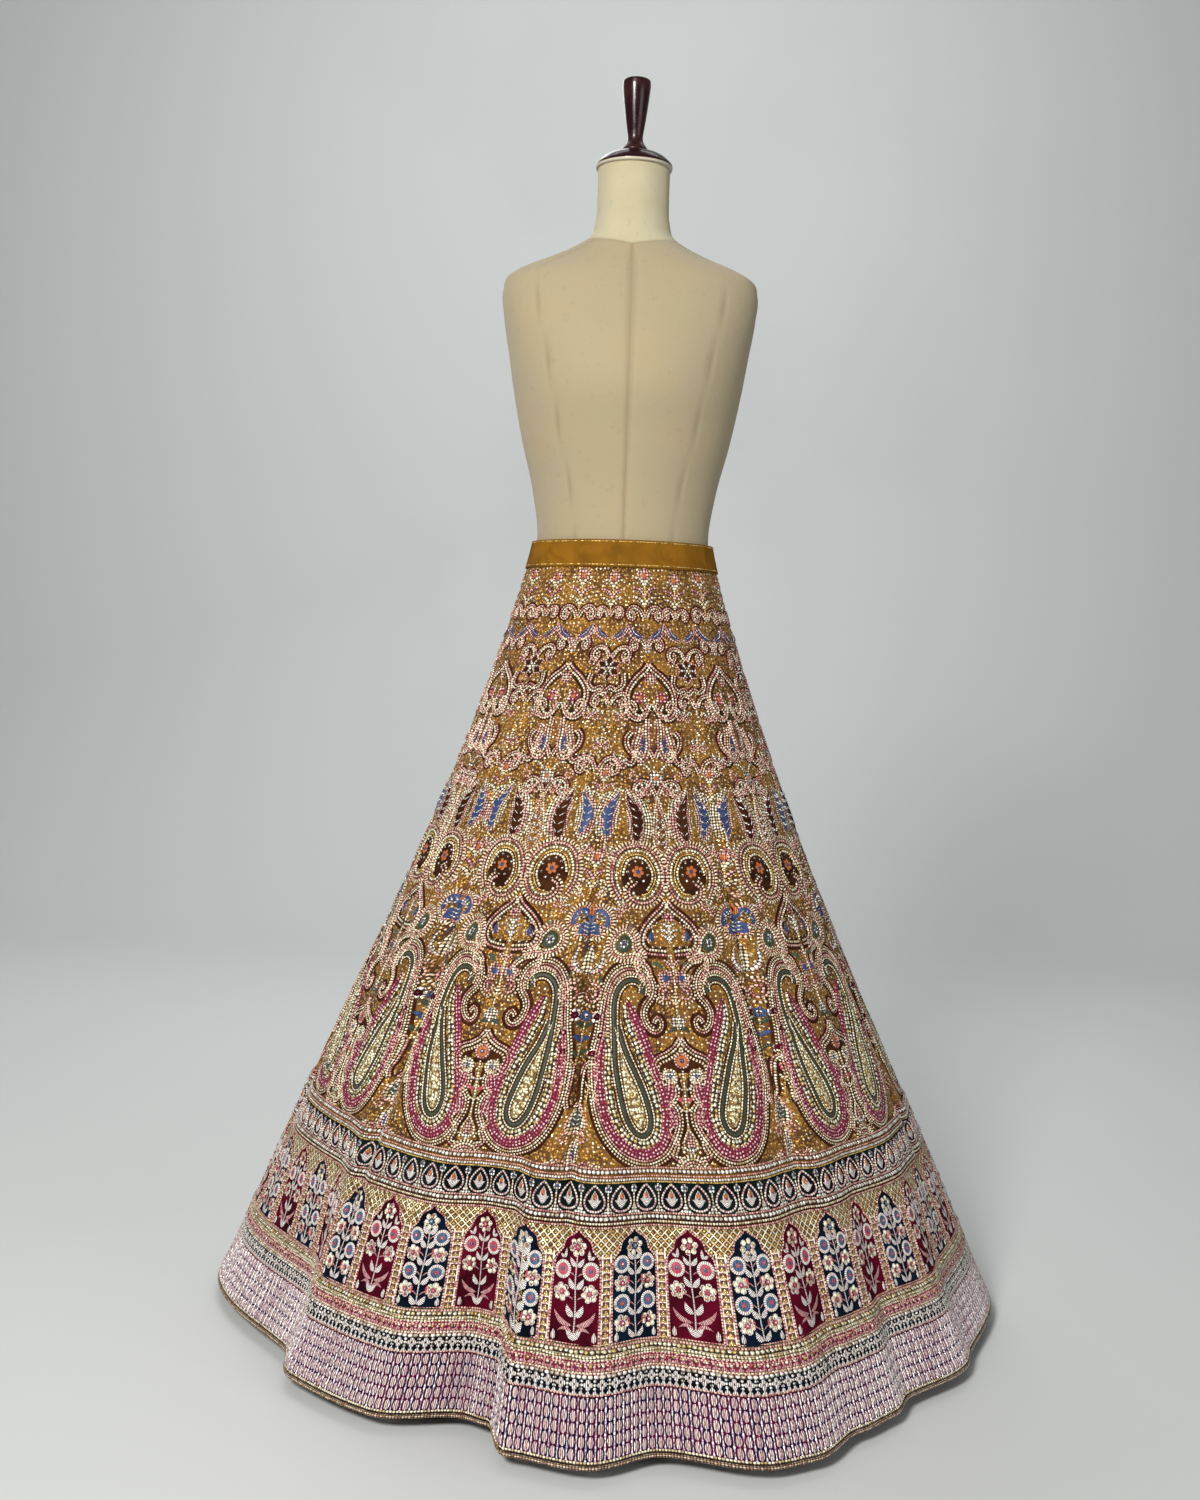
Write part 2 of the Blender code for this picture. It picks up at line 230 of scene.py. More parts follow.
def lifted(turn, share, lift):
    """Points moved out from the skirt along its normal, the cross product of its two directions."""
    step = 0.25
    across = skirt_at(turn + step, share) - skirt_at(turn - step, share)
    down = skirt_at(turn, share + 0.002) - skirt_at(turn, share - 0.002)
    normal = np.cross(down, across)
    normal /= np.linalg.norm(normal, axis=-1, keepdims=True)
    return skirt_at(turn, share) + normal * np.asarray(lift)[..., None]


def down_table():
    """Metres down the cloth at each of SHARES, along its mean profile."""
    radius = mean_radius(SHARES)
    height = (sizes().hem_height - sizes().waist_height) * SHARES
    steps = np.hypot(np.diff(radius), np.diff(height))
    return np.concatenate(([0.0], np.cumsum(steps)))


def share_at(down):
    """The share that lies so many metres down the cloth."""
    return np.interp(down, down_table(), SHARES)


def down_at(share):
    """Metres down the cloth at a share."""
    return np.interp(share, SHARES, down_table())


# ---------------------------------------------------------------- meshes


def new_mesh_object(name, points, triangles, uv, materials, slots=None):
    """One object at the origin from arrays: points, triangles, one UV a point and a slot a triangle."""
    mesh = bpy.data.meshes.new(name)
    points = np.ascontiguousarray(points, np.float32)
    triangles = np.ascontiguousarray(triangles, np.int32)
    mesh.vertices.add(len(points))
    mesh.vertices.foreach_set("co", points.ravel())
    mesh.loops.add(triangles.size)
    mesh.loops.foreach_set("vertex_index", triangles.ravel())
    mesh.polygons.add(len(triangles))
    mesh.polygons.foreach_set("loop_start", np.arange(0, triangles.size, 3, dtype=np.int32))
    layer = mesh.uv_layers.new(name="Cloth")
    layer.data.foreach_set("uv", np.asarray(uv, np.float32)[triangles.ravel()].ravel())
    for material in materials:
        mesh.materials.append(material)
    if slots is not None:
        mesh.polygons.foreach_set("material_index", np.asarray(slots, np.int32))
    mesh.update(calc_edges=True)
    mesh.validate()
    mesh.shade_smooth()
    piece = bpy.data.objects.new(name, mesh)
    bpy.context.scene.collection.objects.link(piece)
    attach(piece, "root")
    return piece


def grid_triangles(rows, columns, closed=False, looped=False):
    """Two triangles for each cell of a grid, whose rows run down and columns run right. Its columns meet
    again if it is closed, and its rows if it is looped."""
    row = np.arange(rows if looped else rows - 1)[:, None] * columns
    column = np.arange(columns if closed else columns - 1)[None, :]
    beside, below = (column + 1) % columns, (row + columns) % (rows * columns)
    low_right = below + beside
    one = np.stack((row + column, below + column, low_right), -1).reshape(-1, 3)
    two = np.stack((row + column, low_right, row + beside), -1).reshape(-1, 3)
    return np.concatenate((one, two))


def fan(rim, middle):
    """Triangles from a closed rim of points, anticlockwise, to one point in its middle."""
    return np.stack((rim, np.roll(rim, -1), np.full(len(rim), middle)), -1)


def ring_points(count):
    """The angles, in radians, of points evenly spaced round a ring."""
    return 2 * np.pi * np.arange(count) / count


def run_along(points):
    """Metres along a line to each of its points."""
    return np.append(0.0, np.cumsum(np.linalg.norm(np.diff(points, axis=0), axis=1)))


def cloth_sheet(name, turns, shares, lift, thickness, material):
    """A sheet laid on the skirt over a grid of turns and shares, given its thickness by Solidify."""
    turn, share = np.meshgrid(turns, shares)
    points = lifted(turn, share, np.full(turn.shape, lift)).reshape(-1, 3)
    middle = (turns[0] + turns[-1]) / 2
    across = np.radians(turn - middle) * mean_radius(share)
    uv = np.stack((across, -down_at(share)), -1).reshape(-1, 2)
    piece = new_mesh_object(name, points, grid_triangles(*turn.shape), uv, [material])
    wall = piece.modifiers.new("Cloth", "SOLIDIFY")
    wall.thickness = thickness
    wall.offset = -1.0
    return piece


# ---------------------------------------------------------------- needlework patterns

PATCH_LIFT = 0.0002
Work = namedtuple("Work", "points triangles uv threads")
# The dark brown thread is real velvet in some patterns and painted shade laid under cords in others.
THREADS = (
    "pearl", "rose", "gold", "magenta", "green", "sequin_fill", "flower_sequins", "blue", "purple", "orange",
    "pink", "cream_satin", "silver", "brown_velvet_and_painted_shade", "maroon_velvet", "navy_velvet", "teal", "rays", "seed_gold",
    "gem_ladder", "mustard_ground", "mauve_rim", "lilac_chain", "white_rays", "petal_discs", "white", "rose_satin",
    "steel_satin", "large_silver", "oval_rim",
)


def gathered(*works):
    """Several patterns as one."""
    starts = np.cumsum([0] + [len(work.points) for work in works[:-1]])
    return Work(
        np.concatenate([work.points for work in works]),
        np.concatenate([work.triangles + start for work, start in zip(works, starts)]),
        np.concatenate([work.uv for work in works]), np.concatenate([work.threads for work in works]),
    )


def placed(work, x=0.0, y=0.0, angle=0.0, size=1.0, mirrored=False, lift=0.0):
    """A pattern scaled, mirrored left to right if asked, turned by degrees and moved."""
    points = work.points * (size, size, 1.0)
    triangles = work.triangles
    if mirrored:
        points = points * (-1.0, 1.0, 1.0)
        triangles = triangles[:, ::-1]
    turn = math.radians(angle)
    across = points[:, 0] * math.cos(turn) - points[:, 1] * math.sin(turn) + x
    up = points[:, 0] * math.sin(turn) + points[:, 1] * math.cos(turn) + y
    points = np.stack((across, up, points[:, 2] + lift), -1)
    return Work(points, triangles, work.uv, work.threads)


def both_sides(*works):
    """Patterns and their mirror image."""
    work = gathered(*works)
    return gathered(work, placed(work, mirrored=True))


def smooth_path(stops, spacing, closed=False):
    """A Catmull-Rom curve through the stops, with points evenly spaced along it."""
    stops = np.asarray(stops, float)
    if closed:
        padded = np.concatenate((stops[-1:], stops, stops[:2]))
    else:
        first = 2 * stops[0] - stops[1]
        last = 2 * stops[-1] - stops[-2]
        padded = np.concatenate((first[None], stops, last[None]))
    way = np.linspace(0, 1, 12, endpoint=False)[:, None]
    before, start, end, after = (padded[i:len(padded) - 3 + i, None] for i in range(4))
    curve = 0.5 * (
        2 * start + (end - before) * way + (2 * before - 5 * start + 4 * end - after) * way ** 2
        + (3 * start - before - 3 * end + after) * way ** 3
    )
    curve = curve.reshape(-1, 2)
    curve = np.concatenate((curve, stops[:1] if closed else stops[-1:]))
    run = run_along(curve)
    count = max(3, int(round(run[-1] / spacing)) + 1)
    marks = np.linspace(0, run[-1], count)
    even = np.stack((np.interp(marks, run, curve[:, 0]), np.interp(marks, run, curve[:, 1])), -1)
    return even[:-1] if closed else even


def arc_path(x, y, radius, start, end, count, end_radius=None, squash=1.0):
    """An arc, or a spiral if end_radius differs: angles in degrees, anticlockwise from the right."""
    angle = np.radians(np.linspace(start, end, count))
    reach = np.linspace(radius, radius if end_radius is None else end_radius, count)
    return np.stack((x + reach * np.cos(angle), y + squash * reach * np.sin(angle)), -1)


def path_sides(path, closed=False):
    """The unit direction to the left of a path at each of its points."""
    if closed:
        along = np.roll(path, -1, axis=0) - np.roll(path, 1, axis=0)
    else:
        along = np.gradient(path, axis=0)
    along /= np.maximum(np.linalg.norm(along, axis=1, keepdims=True), 1e-09)
    return np.stack((-along[:, 1], along[:, 0]), -1)


def offset_path(path, distance, closed=False):
    """A path moved to its left by a distance, which may differ at each point."""
    return path + path_sides(path, closed) * np.broadcast_to(distance, len(path))[:, None]


def woven(points, triangles, thread, uv=None):
    """One thread's pattern. Its map is its own flat x and y, unless another is given."""
    uv = points[:, :2].copy() if uv is None else uv
    return Work(points, triangles, uv, np.full(len(triangles), THREADS.index(thread)))


def cord(path, width, thread, height=None, strips=2, closed=False, lift=0.0004):
    """A raised cord: half an ellipse across, carried along a flat path. Width may differ at each point."""
    path = np.asarray(path, float)
    count = len(path)
    width = np.broadcast_to(np.asarray(width, float), count)
    height = width * 0.4 if height is None else np.broadcast_to(height, count)
    across = np.linspace(-1, 1, strips + 1)
    rise = np.sqrt(np.maximum(0.0, 1 - across**2))
    aside = across[None] * width[:, None] / 2
    flat = path[:, None] + path_sides(path, closed)[:, None] * aside[..., None]
    out = rise[None] * height[:, None] + lift * (rise[None] > 0)
    points = np.concatenate((flat, out[..., None]), -1).reshape(-1, 3)
    uv = np.stack((np.repeat(run_along(path), strips + 1), aside.ravel()), -1)
    return woven(points, grid_triangles(count, strips + 1, looped=closed), thread, uv)


def patch(outline, thread, height=0.0008, inner=0.86):
    """A flat patch with a rounded edge: its outline, then a raised ring drawn in towards its middle."""
    outline = np.asarray(outline, float)
    count = len(outline)
    middle = outline.mean(axis=0)
    x, y = outline.T
    if np.sum(x * np.roll(y, -1) - y * np.roll(x, -1)) < 0:
        outline = outline[::-1]
    flat = np.concatenate((outline, middle + (outline - middle) * inner, middle[None]))
    out = PATCH_LIFT + height * (np.arange(2 * count + 1) >= count)
    here = np.arange(count)
    beside = (here + 1) % count
    triangles = np.concatenate((
        np.stack((here, beside, beside + count), -1), np.stack((here, beside + count, here + count), -1),
        fan(here + count, 2 * count),
    ))
    return woven(np.column_stack((flat, out)), triangles, thread)


def strip_between(first, second, thread, height=0.0008, lift=0.0002, columns=2):
    """Work that fills the space between two paths of equal count, crowned along its middle."""
    across = np.linspace(0, 1, columns + 1)
    flat = first[:, None] * (1 - across[None, :, None]) + second[:, None] * across[None, :, None]
    out = np.broadcast_to(lift + height * (1 - (2 * across - 1) ** 2), flat.shape[:2])
    points = np.concatenate((flat, out[..., None]), -1).reshape(-1, 3)
    triangles = grid_triangles(len(first), columns + 1)
    corner = points[triangles, :2]
    edge, other = corner[:, 1] - corner[:, 0], corner[:, 2] - corner[:, 0]
    if np.sum(edge[:, 0] * other[:, 1] - edge[:, 1] * other[:, 0]) < 0:
        triangles = triangles[:, ::-1]
    return woven(points, triangles, thread)


def beads(centres, radius, thread, height=None, sides=6, stretch=1.0, angle=0.0, lift=0.0003):
    """Small domes: each a ring of points round a raised middle, longer along its angle if stretched."""
    centres = np.asarray(centres, float).reshape(-1, 2)
    count = len(centres)
    radius = np.broadcast_to(np.asarray(radius, float), count)[:, None]
    height = radius[:, 0] * 0.7 if height is None else height
    lean = np.radians(np.broadcast_to(np.asarray(angle, float), count))[:, None]
    long_way = stretch * np.cos(ring_points(sides)) * radius
    short_way = np.sin(ring_points(sides)) * radius
    points = np.full((count, sides + 1, 3), lift)
    points[:, :sides, 0] = centres[:, :1] + long_way * np.cos(lean) - short_way * np.sin(lean)
    points[:, :sides, 1] = centres[:, 1:] + long_way * np.sin(lean) + short_way * np.cos(lean)
    points[:, sides, :2] = centres
    points[:, sides, 2] += height
    starts = (np.arange(count) * (sides + 1))[:, None, None]
    return woven(points.reshape(-1, 3), (fan(np.arange(sides), sides) + starts).reshape(-1, 3), thread)



def leaf(base, tip, width, thread, bend=0.0, count=7, height=0.0011):
    """A leaf from base to tip: a curved spine with a width that swells as a sine and closes at both ends."""
    base, tip = (np.asarray(base, float), np.asarray(tip, float))
    way = np.linspace(0, 1, count)[:, None]
    run = tip - base
    side = np.array((-run[1], run[0]))
    path = base + run * way + side * bend * np.sin(np.pi * way)
    swell = np.maximum(0.02, np.sin(np.pi * way[:, 0] ** 0.8) ** 0.8)
    return cord(path, width * swell, thread, height=height * swell)


def curl(x, y, radius, start, sweep, width, thread, core=0.25):
    """A cord that winds in from its rim to core times its radius."""
    return cord(arc_path(x, y, radius, start, start + sweep, 18, radius * core), width, thread)


def blossom(x, y, radius, petals, petal_thread, heart_thread, heart=0.36):
    """Round petals set in a ring, with a bead at the heart."""
    angle = 2 * np.pi * np.arange(petals) / petals + 0.3
    reach = radius * 0.62
    centres = np.stack((x + reach * np.cos(angle), y + reach * np.sin(angle)), -1)
    petal = min(radius * 0.4, reach * math.sin(math.pi / petals) * 1.05)
    ring = beads(
        centres, petal, petal_thread, height=0.0012, stretch=(radius - reach) / petal, angle=np.degrees(angle),
    )
    return gathered(ring, beads((x, y), radius * heart, heart_thread, height=0.0018, sides=8))


def teardrop(x, y, half_width, half_height, count, point=1.3):
    """A closed drop with its tip up: x = w sin(a) sin(a/2)^p and y = h cos(a)."""
    angle = 2 * np.pi * np.arange(count) / count
    across = half_width * np.sin(angle) * np.abs(np.sin(angle / 2)) ** point * 1.12
    return np.stack((x + across, y + half_height * np.cos(angle)), -1)


# ---------------------------------------------------------------- needlework of one panel
# Millimetres in the stops below; y runs up, so places down the panel are negative.


def mm(*stops):
    """Points given in millimetres, in metres."""
    return np.array(stops, float) * 0.001


def blade(x, y, tip_x, tip_y, width, thread, bend=0.0, count=7, height=0.0011):
    """A leaf between two places in millimetres."""
    return leaf(*mm((x, y), (tip_x, tip_y)), width, thread, bend, count, height)


def double_cord(stops, inner="rose", outer="pearl", width=0.0036, spacing=0.004):
    """Two cords side by side along a smooth path, the inner one on its left, over a wide flat dark band that is
    painted shade round them.
    """
    path = smooth_path(stops, spacing)
    half = width * 0.56
    return gathered(
        # A wide flat dark band under the cords: painted shade.
        cord(path, width * 3.7, "brown_velvet_and_painted_shade", height=0.0001, lift=0.0002),
        cord(offset_path(path, half), width, inner), cord(offset_path(path, -half), width, outer),
    )


def floral_bush():
    """A little upright spray: a stem, three pairs of leaves and a bloom with a yellow heart."""
    return gathered(
        cord(smooth_path(mm((0, -24), (1, -8), (0, 12)), 0.006), 0.0016, "gold"),
        *(
            both_sides(blade(0, low, reach, low + 11, 0.0055, thread, bend=0.2))
            for low, reach, thread in ((-18, 13, "pearl"), (-8, 15, "rose"), (3, 12, "pearl"))
        ),
        blossom(0, 0.016, 0.0085, 6, "rose", "orange"),
        both_sides(curl(0.011, -0.021, 0.0045, 180, 400, 0.0018, "rose")),
    )


def beaded_leaf(base, tip, width, core, bend):
    """A satin leaf within a beaded rim, with a pale vein."""
    way = (tip - base) / np.linalg.norm(tip - base)
    inside = placed(
        leaf(base + way * 0.0015, tip - way * 0.002, width * 0.66, core, bend, height=0.0019), lift=0.0002,
    )
    vein = placed(leaf(base + way * 0.003, tip - way * 0.005, width * 0.16, "silver", bend, 5, 0.0024), lift=0.0003)
    return gathered(leaf(base - way * 0.001, tip + way * 0.002, width, "rose", bend), inside, vein)


def sprig():
    """A small filler: two curls back to back, a leaf above and three beads."""
    return gathered(
        both_sides(curl(0.0062, 0, 0.006, 200, -470, 0.0028, "rose")), blade(0, 5, 0, 19, 0.0056, "pearl", 0.1, 5),
        both_sides(blade(2, 5, 9, 13, 0.0044, "silver", -0.2, 5)),
        beads(mm((0, -7), (-4, -11), (4, -11), (0, -14.5)), 0.0017, "pearl", sides=5),
    )


def scroll_pair(reach=24.0, rise=9.0):
    """Two beaded scrolls that spring from the middle and curl back at their ends."""
    shares = np.array(
        ((0.06, -0.5), (0.3, 0.6), (0.66, 1.0), (0.95, 0.5), (0.98, -0.35), (0.78, -0.7), (0.64, -0.1), (0.76, 0.3))
    )
    return both_sides(double_cord(shares * (reach, rise) * 0.001, "rose", "pearl", 0.003, 0.003))


def leaf_pair():
    """Two purple leaves in a V over three beads."""
    one = beaded_leaf(mm((2, -9))[0], mm((21, 9))[0], 0.012, "purple", -0.18)
    return gathered(both_sides(one), beads(mm((0, -12), (-3.5, -17), (3.5, -17)), 0.0019, "silver"))


def star_frame():
    """A six-pointed star: a rose cord round dark velvet, with a silver star flower on it."""
    angle = np.radians(30 * np.arange(12) + 90)
    reach = np.where(np.arange(12) % 2 == 0, 0.0178, 0.0118)
    outline = np.stack((reach * np.cos(angle), reach * np.sin(angle)), -1)
    return gathered(
        patch(outline, "brown_velvet_and_painted_shade", height=0.0003, inner=0.6),
        cord(smooth_path(outline, 0.0035, closed=True), 0.0026, "rose", closed=True),
        *(
            placed(blade(0, 2, 0, 12, 0.0038, "silver", count=5), angle=turn + 30, lift=0.0003)
            for turn in range(0, 360, 60)
        ),
        beads((0, 0), 0.0026, "pearl"),
        double_cord(
            mm((-22, -8), (-24, -22), (-15, -30), (-7, -26), (0, -33), (7, -26), (15, -30), (24, -22), (22, -8))
        ),
        both_sides(curl(0.0215, 0.01, 0.007, -60, 330, 0.0026, "rose")),
        both_sides(blade(4, 20, 17, 26, 0.005, "pearl", 0.25)),
    )


def dotted_spray(height, rows, spread):
    """Beads in a fan that widens and thins upwards."""
    places = []
    for row in range(rows):
        share = row / max(1, rows - 1)
        count = 1 + row % 3 + (row > rows * 0.4)
        for column in range(count):
            side = (column - (count - 1) / 2) / max(1, count)
            places.append((side * spread * (0.4 + share), height * share))
    return beads(places, 0.0016, "pearl", sides=5)


def onion_arch():
    """A pointed arch whose feet curl inwards, with a bloom under its tip and hooked cords hanging below."""
    half = mm((0, 0), (5, -7), (17, -17), (27, -31), (29.5, -45), (25, -58), (15, -64), (8.5, -58), (12, -51))
    hook = smooth_path(
        mm((4.5, -66), (5.5, -84), (5, -98), (9, -112), (17, -117), (25, -111), (26.5, -98), (22, -84), (20, -74)),
        0.004,
    )
    return gathered(
        both_sides(double_cord(half, "rose", "pearl")),
        placed(blossom(0, 0, 0.0085, 8, "rose", "pearl"), 0, -0.017),
        both_sides(placed(blossom(0, 0, 0.0085, 7, "magenta", "orange"), 0.0135, -0.04)),
        both_sides(blade(1, -56, 7, -30, 0.005, "pearl", -0.15)),
        placed(blossom(0, 0, 0.006, 6, "silver", "orange"), 0, 0.0195),
        both_sides(
            cord(hook, 0.0034, "rose"), cord(offset_path(hook, 0.0038), 0.0034, "pearl"),
            cord(offset_path(hook, 0.0072)[2:-2], 0.003, "rose"),
            blade(15, -109, 15, -82, 0.009, "purple", 0.1, height=0.0016),
        ),
        placed(blossom(0, 0, 0.0095, 8, "silver", "orange"), 0, -0.136),
        both_sides(
            blade(6, -128, 22, -120, 0.005, "pearl", 0.2), blade(6, -140, 20, -148, 0.005, "rose", -0.2),
            curl(0.026, -0.134, 0.0065, 90, -400, 0.0026, "rose"),
        ),
    )


def feather_leaf(length, width, core, lean=0.1):
    """A curved leaf with its tip up: two beaded rims round satin, with a feather of pale stitches on it."""
    base, tip = (np.zeros(2), np.array((0.0, length)))
    works = [
        leaf(base - (0, 0.003), tip + (0, 0.007), width * 1.45, "pearl", lean, 11),
        placed(leaf(base - (0, 0.001), tip + (0, 0.003), width * 1.15, "rose", lean, 11, 0.0015), lift=0.0002),
        placed(leaf(base + (0, 0.002), tip - (0, 0.001), width * 0.8, core, lean, 11, 0.0021), lift=0.0004),
    ]
    for step in range(5):
        way = 0.16 + 0.15 * step
        swell = math.sin(math.pi * way ** 0.8) ** 0.8 * width * 0.34
        spine = np.array((-length * lean * math.sin(math.pi * way), length * way))
        for side in (-1, 1):
            end = spine + (side * swell, length * 0.11)
            works.append(placed(leaf(spine, end, 0.0023, "silver", 0, 4, 0.0026), lift=0.0006))
    return gathered(*works)


def dotted_drop():
    """A tall drop of beads round a line of small leaves."""
    ring = teardrop(0, 0, 0.013, 0.04, 40)
    return gathered(
        cord(ring, 0.0026, "pearl", closed=True),
        cord(offset_path(ring, -0.0036, True), 0.0024, "rose", closed=True),
        *(both_sides(blade(0, low, 6, low + 8, 0.003, "silver", count=4)) for low in (-28, -18, -8, 2)),
    )


def scroll_paisley():
    """A round scroll that opens at its lower right: nested cords, dark velvet and a flower at its heart."""
    open_ring = smooth_path(
        mm(
            (20, -26), (27.5, -12), (28, 6), (18, 25), (0, 31.5), (-18, 25), (-28, 6), (-27, -12), (-16, -28),
            (-1, -31), (9, -25), (10, -15), (3, -10),
        ),
        0.0035,
    )
    angle = np.radians(np.arange(0, 360, 40))
    return gathered(
        patch(arc_path(-0.001, 0, 0.0205, 0, 345, 24, squash=1.12), "brown_velvet_and_painted_shade", height=0.0004, inner=0.6),
        cord(offset_path(open_ring, -0.0046), 0.0036, "rays"), cord(open_ring, 0.0044, "rose"),
        cord(offset_path(open_ring, 0.0048)[2:-3], 0.0036, "pearl"),
        cord(offset_path(open_ring, 0.0092)[6:-9], 0.002, "gold"),
        cord(offset_path(open_ring, 0.0124)[8:-14], 0.0034, "pearl"),
        placed(blossom(0, 0, 0.007, 6, "orange", "blue"), 0, 0.003, lift=0.0006),
        beads(
            np.stack((0.0115 * np.cos(angle), 0.003 + 0.0115 * np.sin(angle)), -1), 0.0015, "silver", lift=0.0008,
        ),
    )


def trefoil_leaf():
    """A blue leaf of two wings and a trunk, beaded all round, with pale feathers and an orange drop on top."""
    half = mm(
        (0, 12), (5, 15.5), (12, 17), (19, 13), (24, 5.5), (25.5, -3), (21.5, -7.5), (17.5, -5.5), (13, -5),
        (13.5, -10), (15, -16), (9, -17.5), (3.5, -17.5),
    )
    outline = smooth_path(np.concatenate((half, [(0, -0.0215)], (half * (-1, 1))[:0:-1])), 0.0022, closed=True)
    works = [patch(outline, "blue", height=0.001, inner=0.8)]
    works.append(cord(outline, 0.0022, "rose", closed=True))
    works.append(cord(offset_path(outline, 0.0042, True), 0.0046, "rays", closed=True))
    veins = []
    for low in (-16, -11, -6):
        veins.append(both_sides(blade(0.8, low, 8.5, low + 5, 0.0021, "silver", count=4, height=0.002)))
    for x, y in ((6, 7), (11, 6.5), (15.5, 4)):
        veins.append(both_sides(blade(x, y, x + 3.5, y + 5.5, 0.0021, "silver", count=4, height=0.002)))
        veins.append(both_sides(blade(x, y - 1, x + 5.5, y - 4, 0.0021, "silver", count=4, height=0.002)))
    works.append(placed(gathered(*veins), lift=0.001))
    works.append(placed(patch(teardrop(0, 0.014, 0.0062, 0.0085, 14), "orange", height=0.0016), lift=0.001))
    works.append(placed(patch(teardrop(0, 0.013, 0.0026, 0.0044, 10), "maroon_velvet", height=0.0012), lift=0.0022))
    works.append(cord(smooth_path(mm((0, -18), (0.5, -27), (0, -36)), 0.005), 0.0016, "purple"))
    return gathered(*works)


def drop_paisley():
    """A fat drop whose tail sweeps down to the left: green heart with a flower, nested beads and rays."""
    ring = smooth_path(
        mm((-1, 17), (10, 12), (14.5, 1), (10, -10), (-1, -15), (-13, -14), (-26, -17), (-15, -5), (-12, 6)),
        0.0032, closed=True,
    )
    heart = smooth_path(mm((0, 11), (7.5, 5), (7, -5), (-1, -9.5), (-8, -7), (-7, 4)), 0.003, closed=True)
    return gathered(
        patch(heart, "green"),
        cord(ring, 0.0026, "rose", closed=True), cord(offset_path(ring, 0.004, True), 0.0046, "rays", closed=True),
        cord(offset_path(ring, -0.0032, True), 0.0026, "pearl", closed=True),
        placed(blossom(0, 0, 0.0052, 6, "silver", "blue"), -0.0003, 0.0005, lift=0.0008),
        double_cord(
            mm((-14, -19), (-26, -22), (-36, -31), (-37, -40), (-30, -42), (-28, -36)), "pearl", "rose", 0.003,
        ),
    )


def ogee_frame():
    """An ogee frame round a bouquet, whose cords cross below and sweep out to the sides."""
    half = mm((0, 0), (5, -9), (18, -20), (30, -33), (34, -46), (29, -57), (16, -60), (4, -61))
    return gathered(
        both_sides(double_cord(half, "rose", "pearl", 0.0042)),
        both_sides(
            double_cord(mm((32, -57), (40, -66), (42, -78), (36, -90), (41, -100)), "pearl", "rose", 0.0032)
        ),
        placed(blossom(0, 0, 0.0078, 7, "rose", "magenta"), 0, -0.019),
        cord(smooth_path(mm((0, -28), (0, -42), (0, -56)), 0.006), 0.0022, "pearl"),
        *(
            both_sides(blade(0.5, low, reach, low + rise, 0.0042, "silver", 0.2))
            for low, reach, rise in ((-50, 9, 10), (-42, 11, 9), (-35, 9, 9))
        ),
        both_sides(
            curl(0.0215, -0.04, 0.0095, 100, -330, 0.003, "rose"),
            patch(teardrop(0.0215, -0.0405, 0.0042, 0.0066, 10), "blue", height=0.0014),
            beads(mm((13, -26), (19, -29), (12, -54), (20, -53)), 0.0017, "pearl"),
        ),
    )


def centre_posy():
    """Pink leaves over two flowers and two ring curls, with a thin stem."""
    return gathered(
        both_sides(
            blade(1, 12, 11, 20, 0.006, "rose", 0.15), blade(12, 10, 24, 16, 0.0056, "teal", 0.25),
            placed(blossom(0, 0, 0.0104, 6, "rose", "blue", heart=0.44), 0.0092, 0.0),
            curl(0.0115, -0.017, 0.0085, 120, -520, 0.0034, "rose"),
            curl(0.0115, -0.017, 0.0118, 120, -300, 0.0026, "rays", core=0.9),
        ),
        cord(smooth_path(mm((0, 26), (0.4, 0), (-0.4, -30), (0, -46)), 0.006), 0.0018, "pearl"),
    )


def seam_tulip():
    """A feathery tulip over two curls with green tips."""
    return gathered(
        blade(0, -14, 0, 16, 0.011, "pearl"),
        both_sides(
            blade(2, -13, 12, 13, 0.007, "silver", -0.25), blade(3, -12, 16, 5, 0.005, "rose", -0.25),
            curl(0.0105, -0.031, 0.01, 110, -540, 0.0036, "rose"),
            curl(0.0105, -0.031, 0.0134, 120, -300, 0.0028, "rays", core=0.9),
            blade(20, -20, 15, -10, 0.0036, "green", 0.2),
        ),
    )


def ring_flowers():
    """Pairs of ringed flowers up a stem with a blue bloom and green leaves."""
    return gathered(
        *(
            both_sides(
                beads(mm((x, y)), 0.0056, "silver", height=0.0011, sides=9),
                placed(beads(mm((x, y)), 0.0032, "maroon_velvet", height=0.0012, sides=7), lift=0.001),
                placed(beads(mm((x, y)), 0.0011, "rose", height=0.0008, sides=5), lift=0.002),
            )
            for x, y in ((10, 15), (15.5, 0), (12.5, -15))
        ),
        blossom(0, 0.014, 0.0052, 6, "blue", "silver"),
        cord(smooth_path(mm((0, 9), (0, -8), (0, -26)), 0.006), 0.002, "gold"),
        *(
            both_sides(blade(0.5, low, 8, low + 6, 0.004, "green" if low != -8 else "blue", 0.2))
            for low in (-20, -8, 3)
        ),
    )


def pillar(height):
    """An upside-down U of cords round a flower on a stem; its feet turn outwards."""
    half = mm((0, 0), (6, -2), (9.5, -9), (9.5, -height * 0.55), (8, -height * 0.8), (12, -height))
    return gathered(
        both_sides(double_cord(half, "rose", "pearl", 0.0028, 0.005)),
        placed(blossom(0, 0, 0.0056, 5, "pink", "maroon_velvet"), 0, -0.013),
        cord(smooth_path(mm((0, -19), (0, -height * 0.9)), 0.008), 0.0016, "gold"),
        both_sides(blade(0, -30, 5, -23, 0.0034, "pearl", count=5)),
    )


